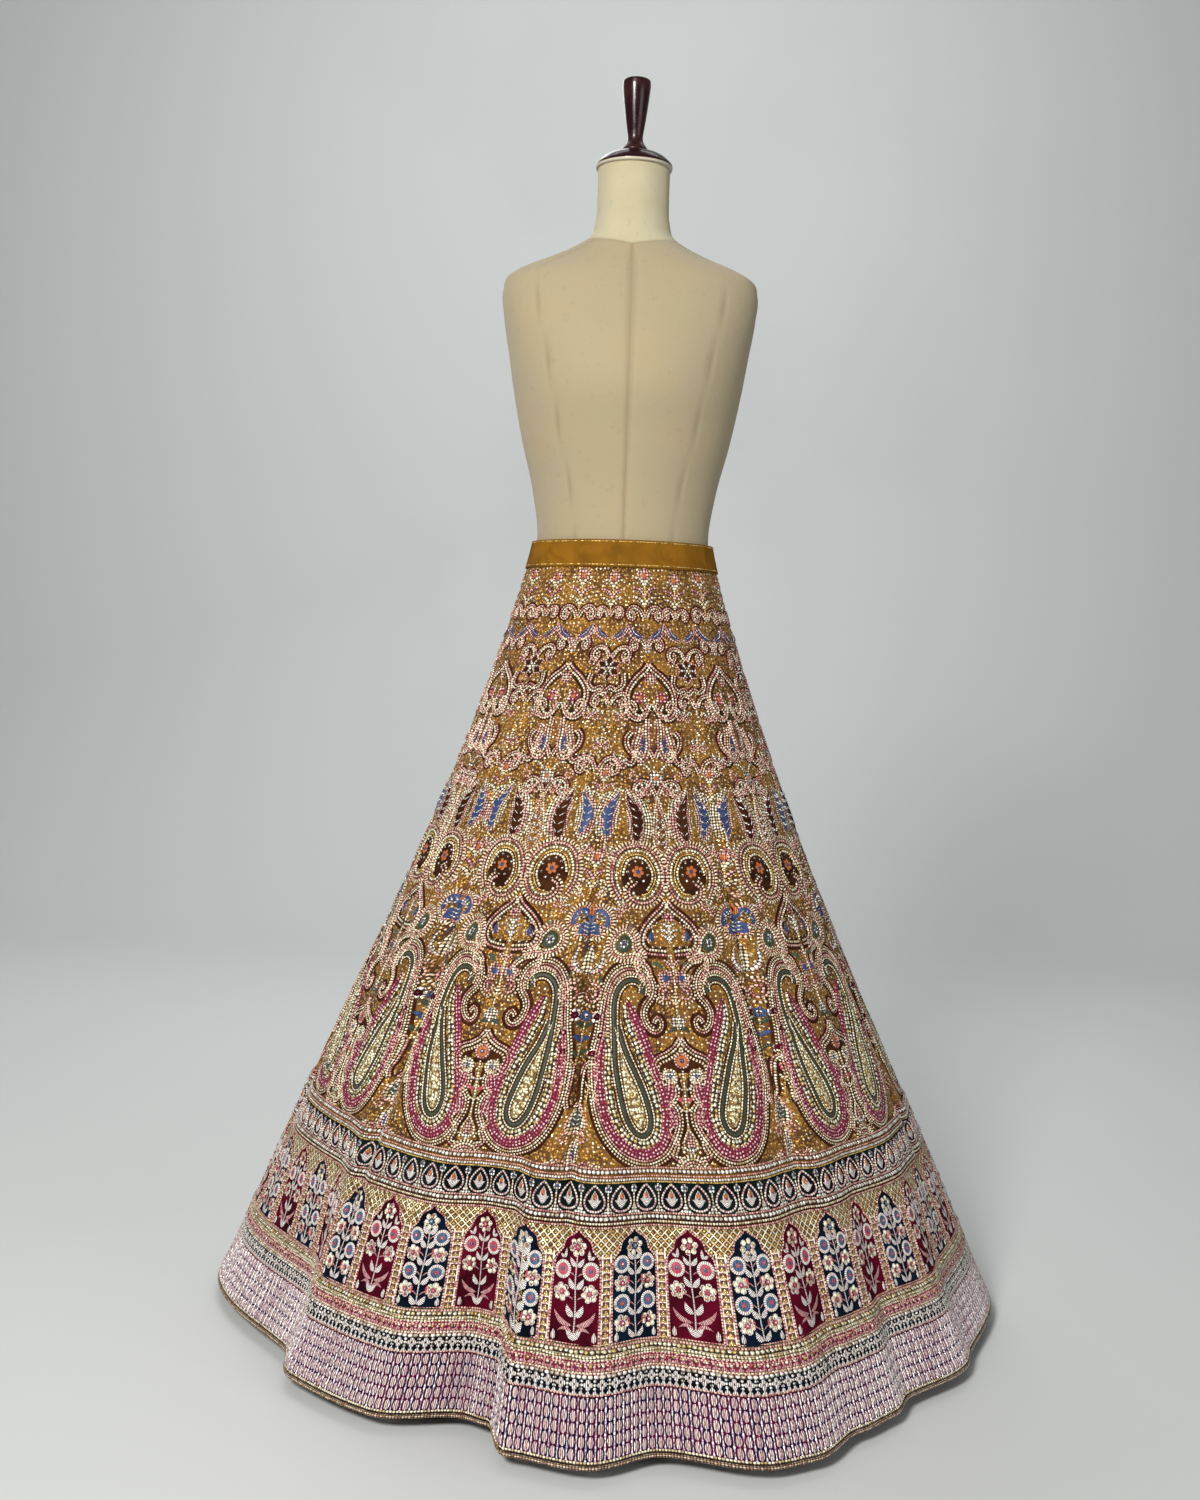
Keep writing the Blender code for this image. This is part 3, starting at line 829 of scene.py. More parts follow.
def veined_leaf():
    """A broad pale leaf with a green heart and fine veins, on curled feet."""
    ring = teardrop(0, 0, 0.0135, 0.016, 26, 1.6)
    return gathered(
        patch(ring, "pearl"), cord(ring, 0.0022, "rose", closed=True),
        placed(patch(ring * 0.62, "green", height=0.0006), lift=0.001),
        *(
            placed(both_sides(blade(0.3, low, 5.5, low + 5, 0.0016, "silver", count=4)), lift=0.0016)
            for low in (-9, -4, 1)
        ),
        both_sides(curl(0.0085, -0.02, 0.006, 150, -420, 0.0026, "rose")),
    )


def medallion():
    """A trefoil frame round dark velvet with three flowers on a stem."""
    half = mm((0, 0), (6, -10), (17, -18), (30, -24), (36, -36), (31, -50), (20, -56), (12, -50), (9, -44))
    outline = np.concatenate((half, (half * (-1, 1))[:0:-1]))
    return gathered(
        patch(smooth_path(outline[:-1] * 0.93, 0.004, closed=True), "brown_velvet_and_painted_shade", height=0.0003, inner=0.55),
        both_sides(
            double_cord(half, "rose", "pearl", 0.0034),
            cord(offset_path(smooth_path(half, 0.004), -0.0068), 0.0038, "rays"),
            blade(1, -60, 10, -53, 0.0046, "silver", -0.2), blade(1, -72, 11, -64, 0.0052, "pink", -0.2),
            blade(1, -84, 9, -76, 0.0046, "pearl", -0.2),
            ring_bloom(0.0155, -0.0445, 0.01, "pearl", "silver", "blue"),
        ),
        ring_bloom(0, -0.0265, 0.0104, "rose", "orange", "purple"),
        cord(smooth_path(mm((0, -38), (0, -70), (0, -106)), 0.008), 0.0026, "pearl"),
        placed(patch(teardrop(0, 0, 0.0065, 0.0095, 14), "rose", height=0.0014), 0, -0.117),
        cord(teardrop(0, -0.117, 0.0092, 0.0125, 22), 0.0022, "pearl", closed=True),
    )


def ring_bloom(x, y, radius, rim, petals, heart):
    """A round flower: a beaded rim, a ring of petals and a heart."""
    rim_path = arc_path(x, y, radius * 0.79, 0, 342, 20)
    return gathered(
        placed(beads((x, y), radius * 0.64, petals, height=0.001, sides=12), lift=0.0004),
        cord(rim_path, radius * 0.42, rim, closed=True, lift=0.0006),
        placed(beads((x, y), radius * 0.27, heart, height=0.001, sides=7), lift=0.0012),
        placed(beads((x, y), radius * 0.1, "silver", height=0.0008, sides=5), lift=0.0022),
    )


def half_round():
    """A scalloped half round that stands on the border: nested bead arcs and a fan."""
    return gathered(
        *(
            cord(arc_path(0, 0, radius, 0, 180, 22), 0.0034, thread)
            for radius, thread in ((0.0185, "rays"), (0.015, "pearl"), (0.0112, "rose"), (0.0078, "pearl"))
        ),
        *(placed(blade(0, 0, 0, 6, 0.0026, "silver", count=4), angle=turn) for turn in (-50, 0, 50)),
        placed(patch(teardrop(0, 0, 0.006, 0.008, 12), "silver", height=0.001), 0, 0.028),
        both_sides(blade(2, 22, 14, 27, 0.0044, "pearl", 0.2)),
    )


def grand_paisley():
    """The tall paisley of nested bands. Its heart is a drop round a spine, its stem hooks over to the right,
    and each band round it follows the last at a set distance."""
    green = smooth_path(
        mm(
            (13, 163), (15, 171), (9, 178), (-1, 180), (-12, 175), (-21, 162), (-26, 138), (-28, 104), (-27, 62),
            (-20, 24), (-11, 5), (0, 0), (9, 7), (12, 21), (7, 43), (-5, 75), (-16, 101), (-23, 126),
        ),
        0.004,
    )
    lower = smooth_path(
        mm(
            (-42, 118), (-49, 82), (-50, 45), (-41, 8), (-23, -13), (0, -21), (20, -13), (31, 7), (33, 30),
            (28, 55), (19, 82), (10, 110), (1, 135), (-7, 156),
        ),
        0.004,
    )
    over = smooth_path(
        mm(
            (25, 128), (29, 134), (35, 130), (33, 121), (24, 118), (15, 125), (11, 138), (15, 150), (24, 160),
            (27, 173), (19, 188), (2, 195), (-16, 190), (-30, 174), (-39, 149), (-47, 118), (-56, 84), (-58, 44),
            (-49, 4), (-28, -21), (0, -30), (24, -22), (38, -4), (46, 12), (46, 26), (40, 36), (45, 48), (41, 62),
            (31, 72),
        ),
        0.004,
    )
    span = len(green)
    left = offset_path(green, 0.0068)[int(span * 0.34):int(span * 0.63)]
    right = offset_path(green, 0.0068)[int(span * 0.64):int(span * 0.96)][::-1]
    left = smooth_path(np.concatenate((mm((-23, 120)), left[::4])), 0.005)
    marks = np.linspace(0, 1, 26)
    left, right = (
        np.stack([np.interp(marks, np.linspace(0, 1, len(side)), side[:, axis]) for axis in (0, 1)], -1)
        for side in (left, right)
    )
    taper = np.clip(np.minimum(np.arange(len(lower)), np.arange(len(lower))[::-1]) / 7 + 0.25, 0, 1)
    return gathered(
        # Wide flat dark bands under the outer band and the green heart: painted shade round them.
        cord(offset_path(over, -0.0012), 0.0175, "brown_velvet_and_painted_shade", height=0.0002, strips=4),
        cord(green, 0.015, "brown_velvet_and_painted_shade", height=0.0002, strips=4), cord(green, 0.0062, "green", height=0.0013),
        *(cord(offset_path(green, side), 0.0026, "pearl", height=0.0013) for side in (0.0044, -0.0044)),
        cord(offset_path(green, -0.0082)[:42], 0.0044, "rays", height=0.001),
        strip_between(left, right, "sequin_fill", 0.0016, columns=4),
        cord((left + right) / 2, 0.0016, "pearl", height=0.0022),
        cord(lower, 0.0128 * taper, "magenta", height=0.0012, strips=4),
        cord(offset_path(lower, 0.0118 * taper), 0.01 * taper, "flower_sequins", height=0.0018, strips=4),
        cord(offset_path(over, 0.0018), 0.0032, "rose"), cord(offset_path(over, -0.0016), 0.0034, "pearl"),
        cord(offset_path(over, -0.005)[8:], 0.0036, "rays", height=0.0008),
        cord(offset_path(over, 0.0056)[28:74], 0.0044, "rose"), both_lobes(),
    )


def both_lobes():
    """Two magenta lobes that scallop the tall paisley's inner side."""
    lobe = teardrop(0, 0, 0.0085, 0.0125, 16, 0.6)
    return gathered(
        placed(patch(lobe, "magenta", height=0.0012), 0.0385, 0.05, -12),
        placed(patch(lobe, "magenta", height=0.0012), 0.04, 0.02, 8),
    )


def laid_out(*rows):
    """Patterns placed from rows of pattern, x, y, angle and size, and mirrored too if they stand off the centre
    line."""
    return gathered(*((both_sides if row[1] else gathered)(placed(*row)) for row in rows))


def panel_needlework():
    """All the needlework of one panel: its centre line's, and one whole seam's on the right."""
    star = gathered(
        blossom(0, 0, 0.0095, 6, "silver", "pearl"), both_sides(blade(1, -8, 13, -13, 0.0056, "green", 0.2)),
    )
    hooks = double_cord(mm((0, 22), (6, 14), (5, 2), (-3, -10), (2, -20), (10, -16)), spacing=0.003)
    tall = grand_paisley()
    tall = tall._replace(points=tall.points * (0.94, 1.015, 1.0))
    down = np.array((0.073, 0.128, 0.178, 0.262, 0.355, 0.447, 0.508, 0.558, 0.645, 0.677, 0.744, 0.7845))
    half_width = np.pi / KALI_COUNT * mean_radius(share_at(down))
    motifs = (
        gathered(placed(floral_bush(), size=1.2), placed(scroll_pair(18, 8), 0, -0.03)), leaf_pair(),
        gathered(star_frame(), placed(scroll_pair(26, 10), 0, 0.019)),
        laid_out(
            (dotted_spray(0.075, 16, 0.03), 0), (scroll_pair(24, 10), 0, 0.04), (scroll_pair(28, 12), 0, -0.048),
            (sprig(), 0.021, 0.018, 10), (sprig(), 0, -0.022),
        ),
        gathered(
            *(
                placed(feather_leaf(0.064, 0.0225, "blue", lean=0.12 * side), 0.018 * side, -0.05, -5 * side)
                for side in (1, -1)
            ),
            placed(floral_bush(), 0, 0.02, size=1.1),
        ),
        gathered(
            placed(floral_bush(), 0, 0, size=1.25),
            both_sides(curl(0.0155, -0.024, 0.0065, 120, -430, 0.003, "pearl")),
        ),
        gathered(trefoil_leaf(), both_sides(placed(drop_paisley(), -0.046, -0.0266, size=1.08))),
        placed(seam_tulip(), size=1.25), placed(ring_flowers(), size=1.45),
        both_sides(placed(pillar(56), 0.0165, 0)), placed(veined_leaf(), size=1.1),
        gathered(
            placed(feather_leaf(0.026, 0.01, "purple"), 0, -0.013),
            both_sides(curl(0.0135, -0.011, 0.0085, 60, -500, 0.0032, "rose")),
            both_sides(curl(0.029, -0.012, 0.007, 120, 420, 0.0026, "pearl")),
        ),
    )
    return gathered(
        laid_out(
            (floral_bush(), 0, -0.07, 0, 1.3), (scroll_pair(24, 10), 0, -0.103), (leaf_pair(), 0, -0.127, 0, 1.2),
            (scroll_pair(22, 9), 0, -0.145), (scroll_pair(34, -14), 0, -0.232),
            (hooks, 0.03, -0.285),
            (scroll_pair(26, 11), 0, -0.292), (scroll_pair(30, 12), 0, -0.34), (onion_arch(), 0, -0.172, 0, 1.12),
            (sprig(), 0.05, -0.305, 20), (sprig(), 0.018, -0.345, -15), (dotted_drop(), 0, -0.385, 0, 0.95),
            (feather_leaf(0.07, 0.025, "brown_velvet_and_painted_shade", lean=0.14), 0.0335, -0.412, -6),
            (scroll_paisley(), 0.035, -0.448, 0, 1.16), (ogee_frame(), 0, -0.482, 0, 1.06),
            (sprig(), 0.072, -0.423, 25), (sprig(), 0.056, -0.493, -35), (centre_posy(), 0, -0.577, 0, 1.1),
            (star, 0, -0.63), (medallion(), 0, -0.649),
        ),
        both_sides(double_cord(
            mm((13, -722), (21, -730), (16, -745), (24, -757), (15, -770), (20, -784), (9, -788)), "rose", "pearl",
            0.0032,
        )),
        laid_out((half_round(), 0, -0.8015), (tall, -0.054, -0.7605)),
        *(placed(motif, x, -y) for motif, x, y in zip(motifs, half_width, down)),
    )


# ---------------------------------------------------------------- needlework of the borders
# Here x runs round the skirt at a set turn for each metre, and y is 0 at the border's top.

ARCH_PITCH = 0.0685
OVAL_PITCH = 0.01
OVAL_COLUMNS = 336

# Degrees that the first arch stands to the left of the front.
ARCHES_BACK = 3.8


def repeated(work, places, y=0.0, vary=0.0137, lift=0.0):
    """Copies of a pattern, one at each place along x, each with its threads shifted so that no two are alike."""
    places = np.asarray(places, float)
    count, size = (len(places), len(work.points))
    points = np.tile(work.points, (count, 1, 1))
    points[..., 0] += places[:, None]
    points[..., 1:] += (y, lift)
    triangles = work.triangles[None] + (np.arange(count) * size)[:, None, None]
    uv = np.tile(work.uv, (count, 1, 1))
    uv[..., 0] += (np.arange(count) * vary)[:, None]
    return Work(points.reshape(-1, 3), triangles.reshape(-1, 3), uv.reshape(-1, 2), np.tile(work.threads, count))


def round_line(length, y, width, thread, height=None, spacing=0.007, wave=0.0, wave_pitch=ARCH_PITCH):
    """A cord all the way round at one height, in waves if asked: y + wave cos(2 pi x / pitch)."""
    count = int(round(length / spacing))
    x = np.arange(count) * length / count
    path = np.stack((x, y + wave * np.cos(2 * np.pi * x / wave_pitch)), -1)
    path = np.concatenate((path, [[length, path[0, 1]]]))
    return cord(path, width, thread, height=height)


def round_lines(length, *lines):
    """Plain cords all the way round, from rows of y, width, thread and, if it isn't the usual, height."""
    return gathered(*(round_line(length, *line) for line in lines))


def drop_motif():
    """A beaded drop round a small flame with two leaves."""
    ring = teardrop(0, 0, 0.0142, 0.014, 22, 0.8)
    return gathered(
        cord(ring, 0.0028, "mauve_rim", closed=True),
        patch(teardrop(0, 0.0018, 0.0064, 0.007, 10), "white", height=0.001),
        placed(patch(teardrop(0, 0.0028, 0.004, 0.0044, 8), "orange"), lift=0.0008),
        placed(beads((0, -0.0004), 0.0016, "magenta", height=0.0008, sides=5), lift=0.0016),
        both_sides(blade(0.4, -10.5, 8.4, -1.5, 0.0056, "white", 0.2, count=4)),
    )


def drop_divider():
    """A round flower on a thin stem, with a small fan of gold at its foot."""
    return gathered(
        beads((0, 0.0105), 0.0046, "silver", height=0.001, sides=8),
        placed(beads((0, 0.0105), 0.0022, "blue", height=0.0008, sides=5), lift=0.0009),
        cord(mm((0, 5.5), (0, -14)), 0.002, "pearl"),
        both_sides(patch(mm((0, -5), (0, -16.8), (9.5, -16.8), (4, -12.5)), "silver")),
    )


def arch_side():
    """The right half of an arch's edge: straight, a shoulder, a small cusp and an ogee to the tip."""
    return mm(
        (27.2, -1), (27.4, 30), (27.4, 60), (27.0, 80), (25.4, 87.5), (21, 92.5), (18.4, 94.5), (17.6, 99),
        (15.4, 105), (9.5, 109.5), (4, 112.5), (0, 117.5),
    )


def arch_frame(velvet):
    """An arch of velvet in a beaded edge. y is 0 at its foot."""
    side = smooth_path(arch_side(), 0.005)
    field = strip_between(side * (-1, 1), side, velvet, 0.0004, lift=0.0001, columns=6)
    edge = both_sides(cord(offset_path(side, -0.0004), 0.0026, "rose"))
    return gathered(field, edge, cord(mm((-27, 0), (0, 0), (27, 0)), 0.0024, "rose"))


def stem(top, bends=1.0):
    """A pale stem with a slight sway."""
    return cord(
        smooth_path(mm((0, 4), (0.8 * bends, top * 0.35), (-0.8 * bends, top * 0.7), (0, top)), 0.009), 0.0022,
        "white",
    )


def sequin_bloom(x, y, radius, heart="pink"):
    """Six clear sequins, each within a pale ring, round a heart."""
    angle = 2 * np.pi * (np.arange(6) + 0.25) / 6
    centres = np.stack((x + 0.64 * radius * np.cos(angle), y + 0.64 * radius * np.sin(angle)), -1)
    return gathered(
        beads(centres, radius * 0.38, "white", height=0.001, sides=8),
        placed(beads(centres, radius * 0.25, "petal_discs", height=0.001, sides=7), lift=0.0005),
        placed(beads((x, y), radius * 0.3, heart, height=0.0012, sides=7), lift=0.0012),
        placed(beads((x, y), radius * 0.12, "silver", height=0.001, sides=5), lift=0.002),
    )


def maroon_plant():
    """The plant of the maroon arches."""
    # x, y, tip_x, tip_y (millimetres), width, thread, bend
    leaves = [
        (0, 3, 9, 14, 0.0092, "white", 0.1), (0, 27, 9, 40, 0.0092, "white", -0.15),
        (1, 18, 23, 33, 0.0072, "rose_satin", -0.16), (1, 10, 18, 12, 0.0054, "rose_satin", 0.26),
        (0, 55, 8.5, 67, 0.0084, "white", -0.1), (0, 78, 8, 88, 0.0072, "white", -0.1),
        (14.5, 85, 13.5, 96, 0.005, "white", 0.0), (15, 86, 21, 90, 0.0042, "white", 0.0),
        (1, 44, 13, 48, 0.0018, "rose_satin", 0.1), (1, 68, 13, 73, 0.0018, "rose_satin", 0.1),
    ]
    right = [blade(*row) for row in leaves]
    right.append(sequin_bloom(0.0158, 0.0515, 0.0098))
    right.append(ring_bloom(0.0162, 0.0745, 0.01, "white_rays", "pink", "steel_satin"))
    right.append(patch(teardrop(0.0222, 0.0075, 0.0028, 0.0052, 8, 0.6), "white"))
    return gathered(stem(90), both_sides(*right), sequin_bloom(0, 0.0985, 0.0106))


def navy_plant():
    """The plant of the navy arches."""
    leaves = [(0, low, 8.5, low + 11, 0.0084, "white", -0.15) for low in (3, 26, 48, 68, 84)]
    leaves += [(1, low, 12, low + 6, 0.0017, "rose_satin", 0.15) for low in (13, 35, 57, 77)]
    leaves += [(8.5, mid + 6, 8.2, mid - 6, 0.0034, "pink", 0.0) for mid in (20, 63)]
    right = [blade(*row, count=6) for row in leaves]
    right += [sequin_bloom(0.0162, y, 0.0094) for y in (0.0195, 0.0605)]
    right += [ring_bloom(0.016, y, 0.0098, "white_rays", "steel_satin", "pink") for y in (0.04, 0.0805)]
    right.append(patch(teardrop(0.0222, 0.0065, 0.0026, 0.0048, 8, 0.6), "white"))
    return gathered(stem(90, -1.0), both_sides(*right), sequin_bloom(0, 0.0985, 0.0106, heart="steel_satin"))


def arch_needlework(count):
    """All the arches: maroon and navy in turn, with ladders of gold gems between them."""
    foot = -(down_at(BORDERS["arch_border"][1]) - down_at(BORDERS["arch_border"][0])) + 0.0015
    length = count * ARCH_PITCH
    ladder = strip_between(
        mm((-5.8, 0), (-5.8, 46), (-5.8, 92)), mm((5.8, 0), (5.8, 46), (5.8, 92)), "gem_ladder", 0.0006,
    )
    places = (np.arange(count) + 0.5) * ARCH_PITCH
    first = -ARCH_PITCH * ARCHES_BACK / (360 / count)
    odd, even = first + np.arange(0, count, 2) * ARCH_PITCH, first + np.arange(1, count, 2) * ARCH_PITCH
    return gathered(
        repeated(gathered(arch_frame("maroon_velvet"), maroon_plant()), odd, foot),
        repeated(gathered(arch_frame("navy_velvet"), navy_plant()), even, foot),
        repeated(ladder, first + places, foot, vary=0), round_line(length, -0.0012, 0.0026, "rose"),
    )


def drop_needlework(count):
    """The navy border: bead braids at its top and foot, and two drops to each arch."""
    length = count * ARCH_PITCH
    top = down_at(BORDERS["drop_border"][0])
    deep = down_at(BORDERS["drop_border"][1]) - top
    middle = -0.034
    first = -ARCH_PITCH * ARCHES_BACK / (360 / count) + ARCH_PITCH / 4
    places = first + np.arange(2 * count) * ARCH_PITCH / 2
    lines = round_lines(
        length, (-0.0085, 0.017, "mustard_ground", 0.0001), (-0.0014, 0.0022, "rose"),
        (-0.0056, 0.0056, "large_silver"), (-0.0104, 0.0026, "rose"), (-0.014, 0.0038, "silver"),
        (-0.0169, 0.0018, "gold"), (-deep + 0.0068, 0.0136, "brown_velvet_and_painted_shade", 0.0001),
        (-deep + 0.0122, 0.0024, "rose"), (-deep + 0.008, 0.0054, "large_silver"), (-deep + 0.003, 0.003, "pearl"),
    )
    dividers = repeated(drop_divider(), places + ARCH_PITCH / 4, middle)
    return gathered(lines, repeated(drop_motif(), places, middle), dividers)


def gold_braid_needlework(count):
    """Cream and gold beads with a waved lower edge."""
    length = count * ARCH_PITCH
    edge = round_line(length, -0.0104, 0.0032, "pearl", spacing=0.005, wave=0.0007, wave_pitch=ARCH_PITCH / 2)
    return gathered(round_lines(length, (-0.0018, 0.0026, "rose"), (-0.0058, 0.0052, "flower_sequins")), edge)


def rose_braid_needlework(count):
    """Magenta beadwork with a row of rose triangles, and a gold sequin at each third one."""
    length = count * ARCH_PITCH
    triangle = patch(mm((-3.2, -2.6), (3.2, -2.6), (0, 2.8)), "rose_satin")
    places = np.arange(9 * count) * ARCH_PITCH / 9
    sequins = np.arange(6 * count) * ARCH_PITCH / 6
    return gathered(
        round_lines(
            length, (-0.0074, 0.0146, "magenta", 0.0002), (-0.0012, 0.002, "pearl"), (-0.005, 0.003, "rose"),
        ),
        repeated(triangle, places, -0.0098, lift=0.0004),
        repeated(beads((0, 0), 0.0021, "flower_sequins"), sequins, -0.0072, lift=0.0006),
        round_line(length, -0.0138, 0.0022, "pearl"),
    )


def diamond_braid_needlework(count):
    """Fours of pearls set as diamonds on navy, small beads between them, and a row of pale triangles."""
    length = count * ARCH_PITCH
    pitch = ARCH_PITCH / 5
    places = np.arange(5 * count) * pitch
    four = beads(mm((-2.9, 0), (2.9, 0), (0, 3.2), (0, -3.2)), 0.0024, "white")
    small = beads(mm((-6.85, 0), (-6.85, 3.8), (-6.85, -3.8)), 0.0018, "silver")
    triangle = patch(mm((-3.3, -2.4), (3.3, -2.4), (0, 2.6)), "white")
    return gathered(
        repeated(gathered(four, small), places, -0.0118),
        repeated(triangle, np.arange(10 * count) * pitch / 2, -0.0192),
        round_lines(length, (-0.0012, 0.002, "rose"), (-0.0042, 0.004, "large_silver"), (-0.0222, 0.0022, "rose")),
    )


def oval_column(rows, pitch):
    """One column of upright pointed ovals, each a pale rim round a gold seed, and one chain of beads."""
    angle = 2 * np.pi * np.arange(8) / 8
    rim = np.stack((0.0033 * np.sign(np.sin(angle)) * np.abs(np.sin(angle)) ** 1.1, 0.0059 * np.cos(angle)), -1)
    oval = gathered(
        patch(rim, "oval_rim", height=0.001, inner=0.7),
        placed(patch(rim[::2] * (0.4, 0.6), "seed_gold", height=0.0006), lift=0.001),
    )
    works = [placed(oval, 0, -pitch * (row + 0.5)) for row in range(rows)]
    steps = 4 * rows + 1
    down = np.linspace(0, rows * pitch, steps)
    width = 0.0013 + 0.001 * np.cos(2 * np.pi * down / pitch)
    chain = cord(np.stack((np.full(steps, OVAL_PITCH / 2), -down), -1), width, "lilac_chain", height=0.0011)
    return gathered(*works, chain)


def hem_needlework():
    """The wide hem border: five rows of ovals between chains, a cord above and a beaded edge below."""
    length = OVAL_COLUMNS * OVAL_PITCH
    deep = down_at(1.0) - down_at(BORDERS["hem_border"][0])
    pitch = (deep - 0.006) / 5
    ovals = repeated(oval_column(5, pitch), np.arange(OVAL_COLUMNS) * OVAL_PITCH, -0.003)
    return gathered(ovals, round_lines(length, (-0.0013, 0.0026, "rose"), (-deep + 0.0018, 0.0026, "pearl")))


# ---------------------------------------------------------------- materials

TRELLIS_PITCH = 0.0096
RUNG_PITCH, LADDER_HALF_WIDTH = 0.0074, 0.0052
WEAVE_PITCH = 0.0011


class Wire:
    """A node's output. It takes part in sums, each of which adds a Math node to its tree."""

    def __init__(self, socket):
        self.socket = socket

    def __add__(self, other):
        return maths("ADD", self, other)

    def __sub__(self, other):
        return maths("SUBTRACT", self, other)

    def __rsub__(self, other):
        return maths("SUBTRACT", other, self)

    def __mul__(self, other):
        return maths("MULTIPLY", self, other)

    def __truediv__(self, other):
        return maths("DIVIDE", self, other)

    def __rtruediv__(self, other):
        return maths("DIVIDE", other, self)


def join(made, inputs):
    """Gives a node its inputs by name or number, each a value, a colour or a wire."""
    for name, value in inputs.items():
        socket = made.inputs[name]
        if isinstance(value, Wire):
            socket.id_data.links.new(value.socket, socket)
        else:
            socket.default_value = (*tuple(value)[:3], 1.0) if socket.type == "RGBA" else value


def add_node(kind, inputs, **settings):
    """One node in the tree of its first wire."""
    first = next(value for value in inputs.values() if isinstance(value, Wire))
    made = first.socket.id_data.nodes.new(kind)
    for name, value in settings.items():
        setattr(made, name, value)
    join(made, inputs)
    return made


def maths(operation, *values, clamp=False):
    """One sum on numbers or wires."""
    made = add_node("ShaderNodeMath", dict(enumerate(values)), operation=operation, use_clamp=clamp)
    return Wire(made.outputs[0])


def vector_maths(operation, inputs):
    """One sum on vectors."""
    return Wire(add_node("ShaderNodeVectorMath", inputs, operation=operation).outputs[0])


def mapped(value, low, high, to_low=0.0, to_high=1.0):
    """A value moved smoothly from one range to another, within its ends."""
    inputs = {"Value": value, "From Min": low, "From Max": high, "To Min": to_low, "To Max": to_high}
    return Wire(add_node("ShaderNodeMapRange", inputs, interpolation_type="SMOOTHSTEP").outputs["Result"])


def mixed(share, first, second):
    """A colour between two, by a share."""
    return Wire(add_node("ShaderNodeMix", {0: share, 6: first, 7: second}, data_type="RGBA").outputs[2])


def noise(vector, scale, detail, distortion=0.0):
    """Soft noise in 3-D."""
    inputs = {"Vector": vector, "Scale": scale, "Detail": detail, "Distortion": distortion}
    return Wire(add_node("ShaderNodeTexNoise", inputs).outputs[0])


def parts_of(vector):
    """A vector's x, y and z."""
    return [Wire(socket) for socket in add_node("ShaderNodeSeparateXYZ", {0: vector}).outputs]


def group(name, build, **inputs):
    """A node group of a vector and numbers, whose outputs are what build makes of them."""
    tree = bpy.data.node_groups.new(name, "ShaderNodeTree")
    tree.interface.new_socket("Vector", in_out="INPUT", socket_type="NodeSocketVector")
    for socket, default in inputs.items():
        tree.interface.new_socket(socket, in_out="INPUT", socket_type="NodeSocketFloat").default_value = default
    start = tree.nodes.new("NodeGroupInput")
    outputs = build(*(Wire(socket) for socket in start.outputs if socket.name))
    for socket in outputs:
        kind = "NodeSocketVector" if socket == "Normal" else "NodeSocketFloat"
        tree.interface.new_socket(socket, in_out="OUTPUT", socket_type=kind)
    join(tree.nodes.new("NodeGroupOutput"), outputs)


def bead_field(vector, pitch, unevenness, size, tilt):
    """Round beads or sequins spread over a surface: Bead is 1 on them, Tone and the tilt of Normal differ
    from one to the next."""
    place = vector_maths("SCALE", {0: vector, 3: 1.0 / pitch})
    inputs = {"Vector": place, "Scale": 1.0, "Randomness": unevenness}
    cells = add_node("ShaderNodeTexVoronoi", inputs, voronoi_dimensions="2D").outputs
    share = Wire(cells["Distance"]) / size
    random = Wire(cells["Color"])
    facing = Wire(place.socket.id_data.nodes.new("ShaderNodeNewGeometry").outputs["Normal"])
    lean = vector_maths("SCALE", {0: vector_maths("SUBTRACT", {0: random, 1: (0.5, 0.5, 0.5)}), 3: tilt})
    return {
        "Bead": mapped(share, 1.0, 0.8),
        "Tone": Wire(add_node("ShaderNodeSeparateColor", {0: random}).outputs[0]),
        "Height": maths("SQRT", maths("SUBTRACT", 1.0, share * share, clamp=True)),
        "Normal": vector_maths("NORMALIZE", {0: vector_maths("ADD", {0: facing, 1: lean})}),
    }


def laid_stitches(vector, pitch, unevenness):
    """Short stitches laid side by side across a thread: Strand is 1 on each, with an uneven edge."""
    along = parts_of(vector)[0] / pitch + noise(vector, 260.0, 2.0) * unevenness
    strand = mapped(maths("SINE", along * (2 * math.pi)), -0.5, 0.5)
    cell = add_node("ShaderNodeTexWhiteNoise", {"W": maths("FLOOR", along)}, noise_dimensions="1D")
    return {"Strand": strand, "Tone": Wire(cell.outputs["Value"]), "Height": strand}


def velvet_pile(vector, patch_size, contrast):
    """Velvet's pile: Shade is painted light and shade, soft random patches lighter or darker as if the pile caught
    the light, Pile its fine tufts.
    """
    nap_and_painted_shade = noise(vector, 1.0 / patch_size, 3.0, 0.6)
    return {"Shade": mapped(nap_and_painted_shade, 0.5 - contrast, contrast + 0.5), "Pile": noise(vector, 1400.0, 1.0)}


def handling(vector, spread):
    """Wear from handling: Stain is broad and soft, Scuff is in small patches."""
    scale = 1.0 / spread
    return {
        "Stain": mapped(noise(vector, scale, 4.0), 0.46, 0.68),
        "Scuff": mapped(noise(vector, scale * 9.0, 5.0), 0.60, 0.70),
    }


def use_group(name, **inputs):
    """A shared group placed in a material, with its own values: its wires by name."""
    made = add_node("ShaderNodeGroup", inputs, node_tree=bpy.data.node_groups[name])
    return {socket.name: Wire(socket) for socket in made.outputs}


def new_material(name):
    """A material, and its two vectors: the object's and the cloth's own."""
    material = bpy.data.materials.new(name)
    material.use_nodes = True
    nodes = material.node_tree.nodes
    cloth = nodes.new("ShaderNodeUVMap")
    cloth.uv_map = "Cloth"
    return material, Wire(nodes.new("ShaderNodeTexCoord").outputs["Object"]), Wire(cloth.outputs[0])


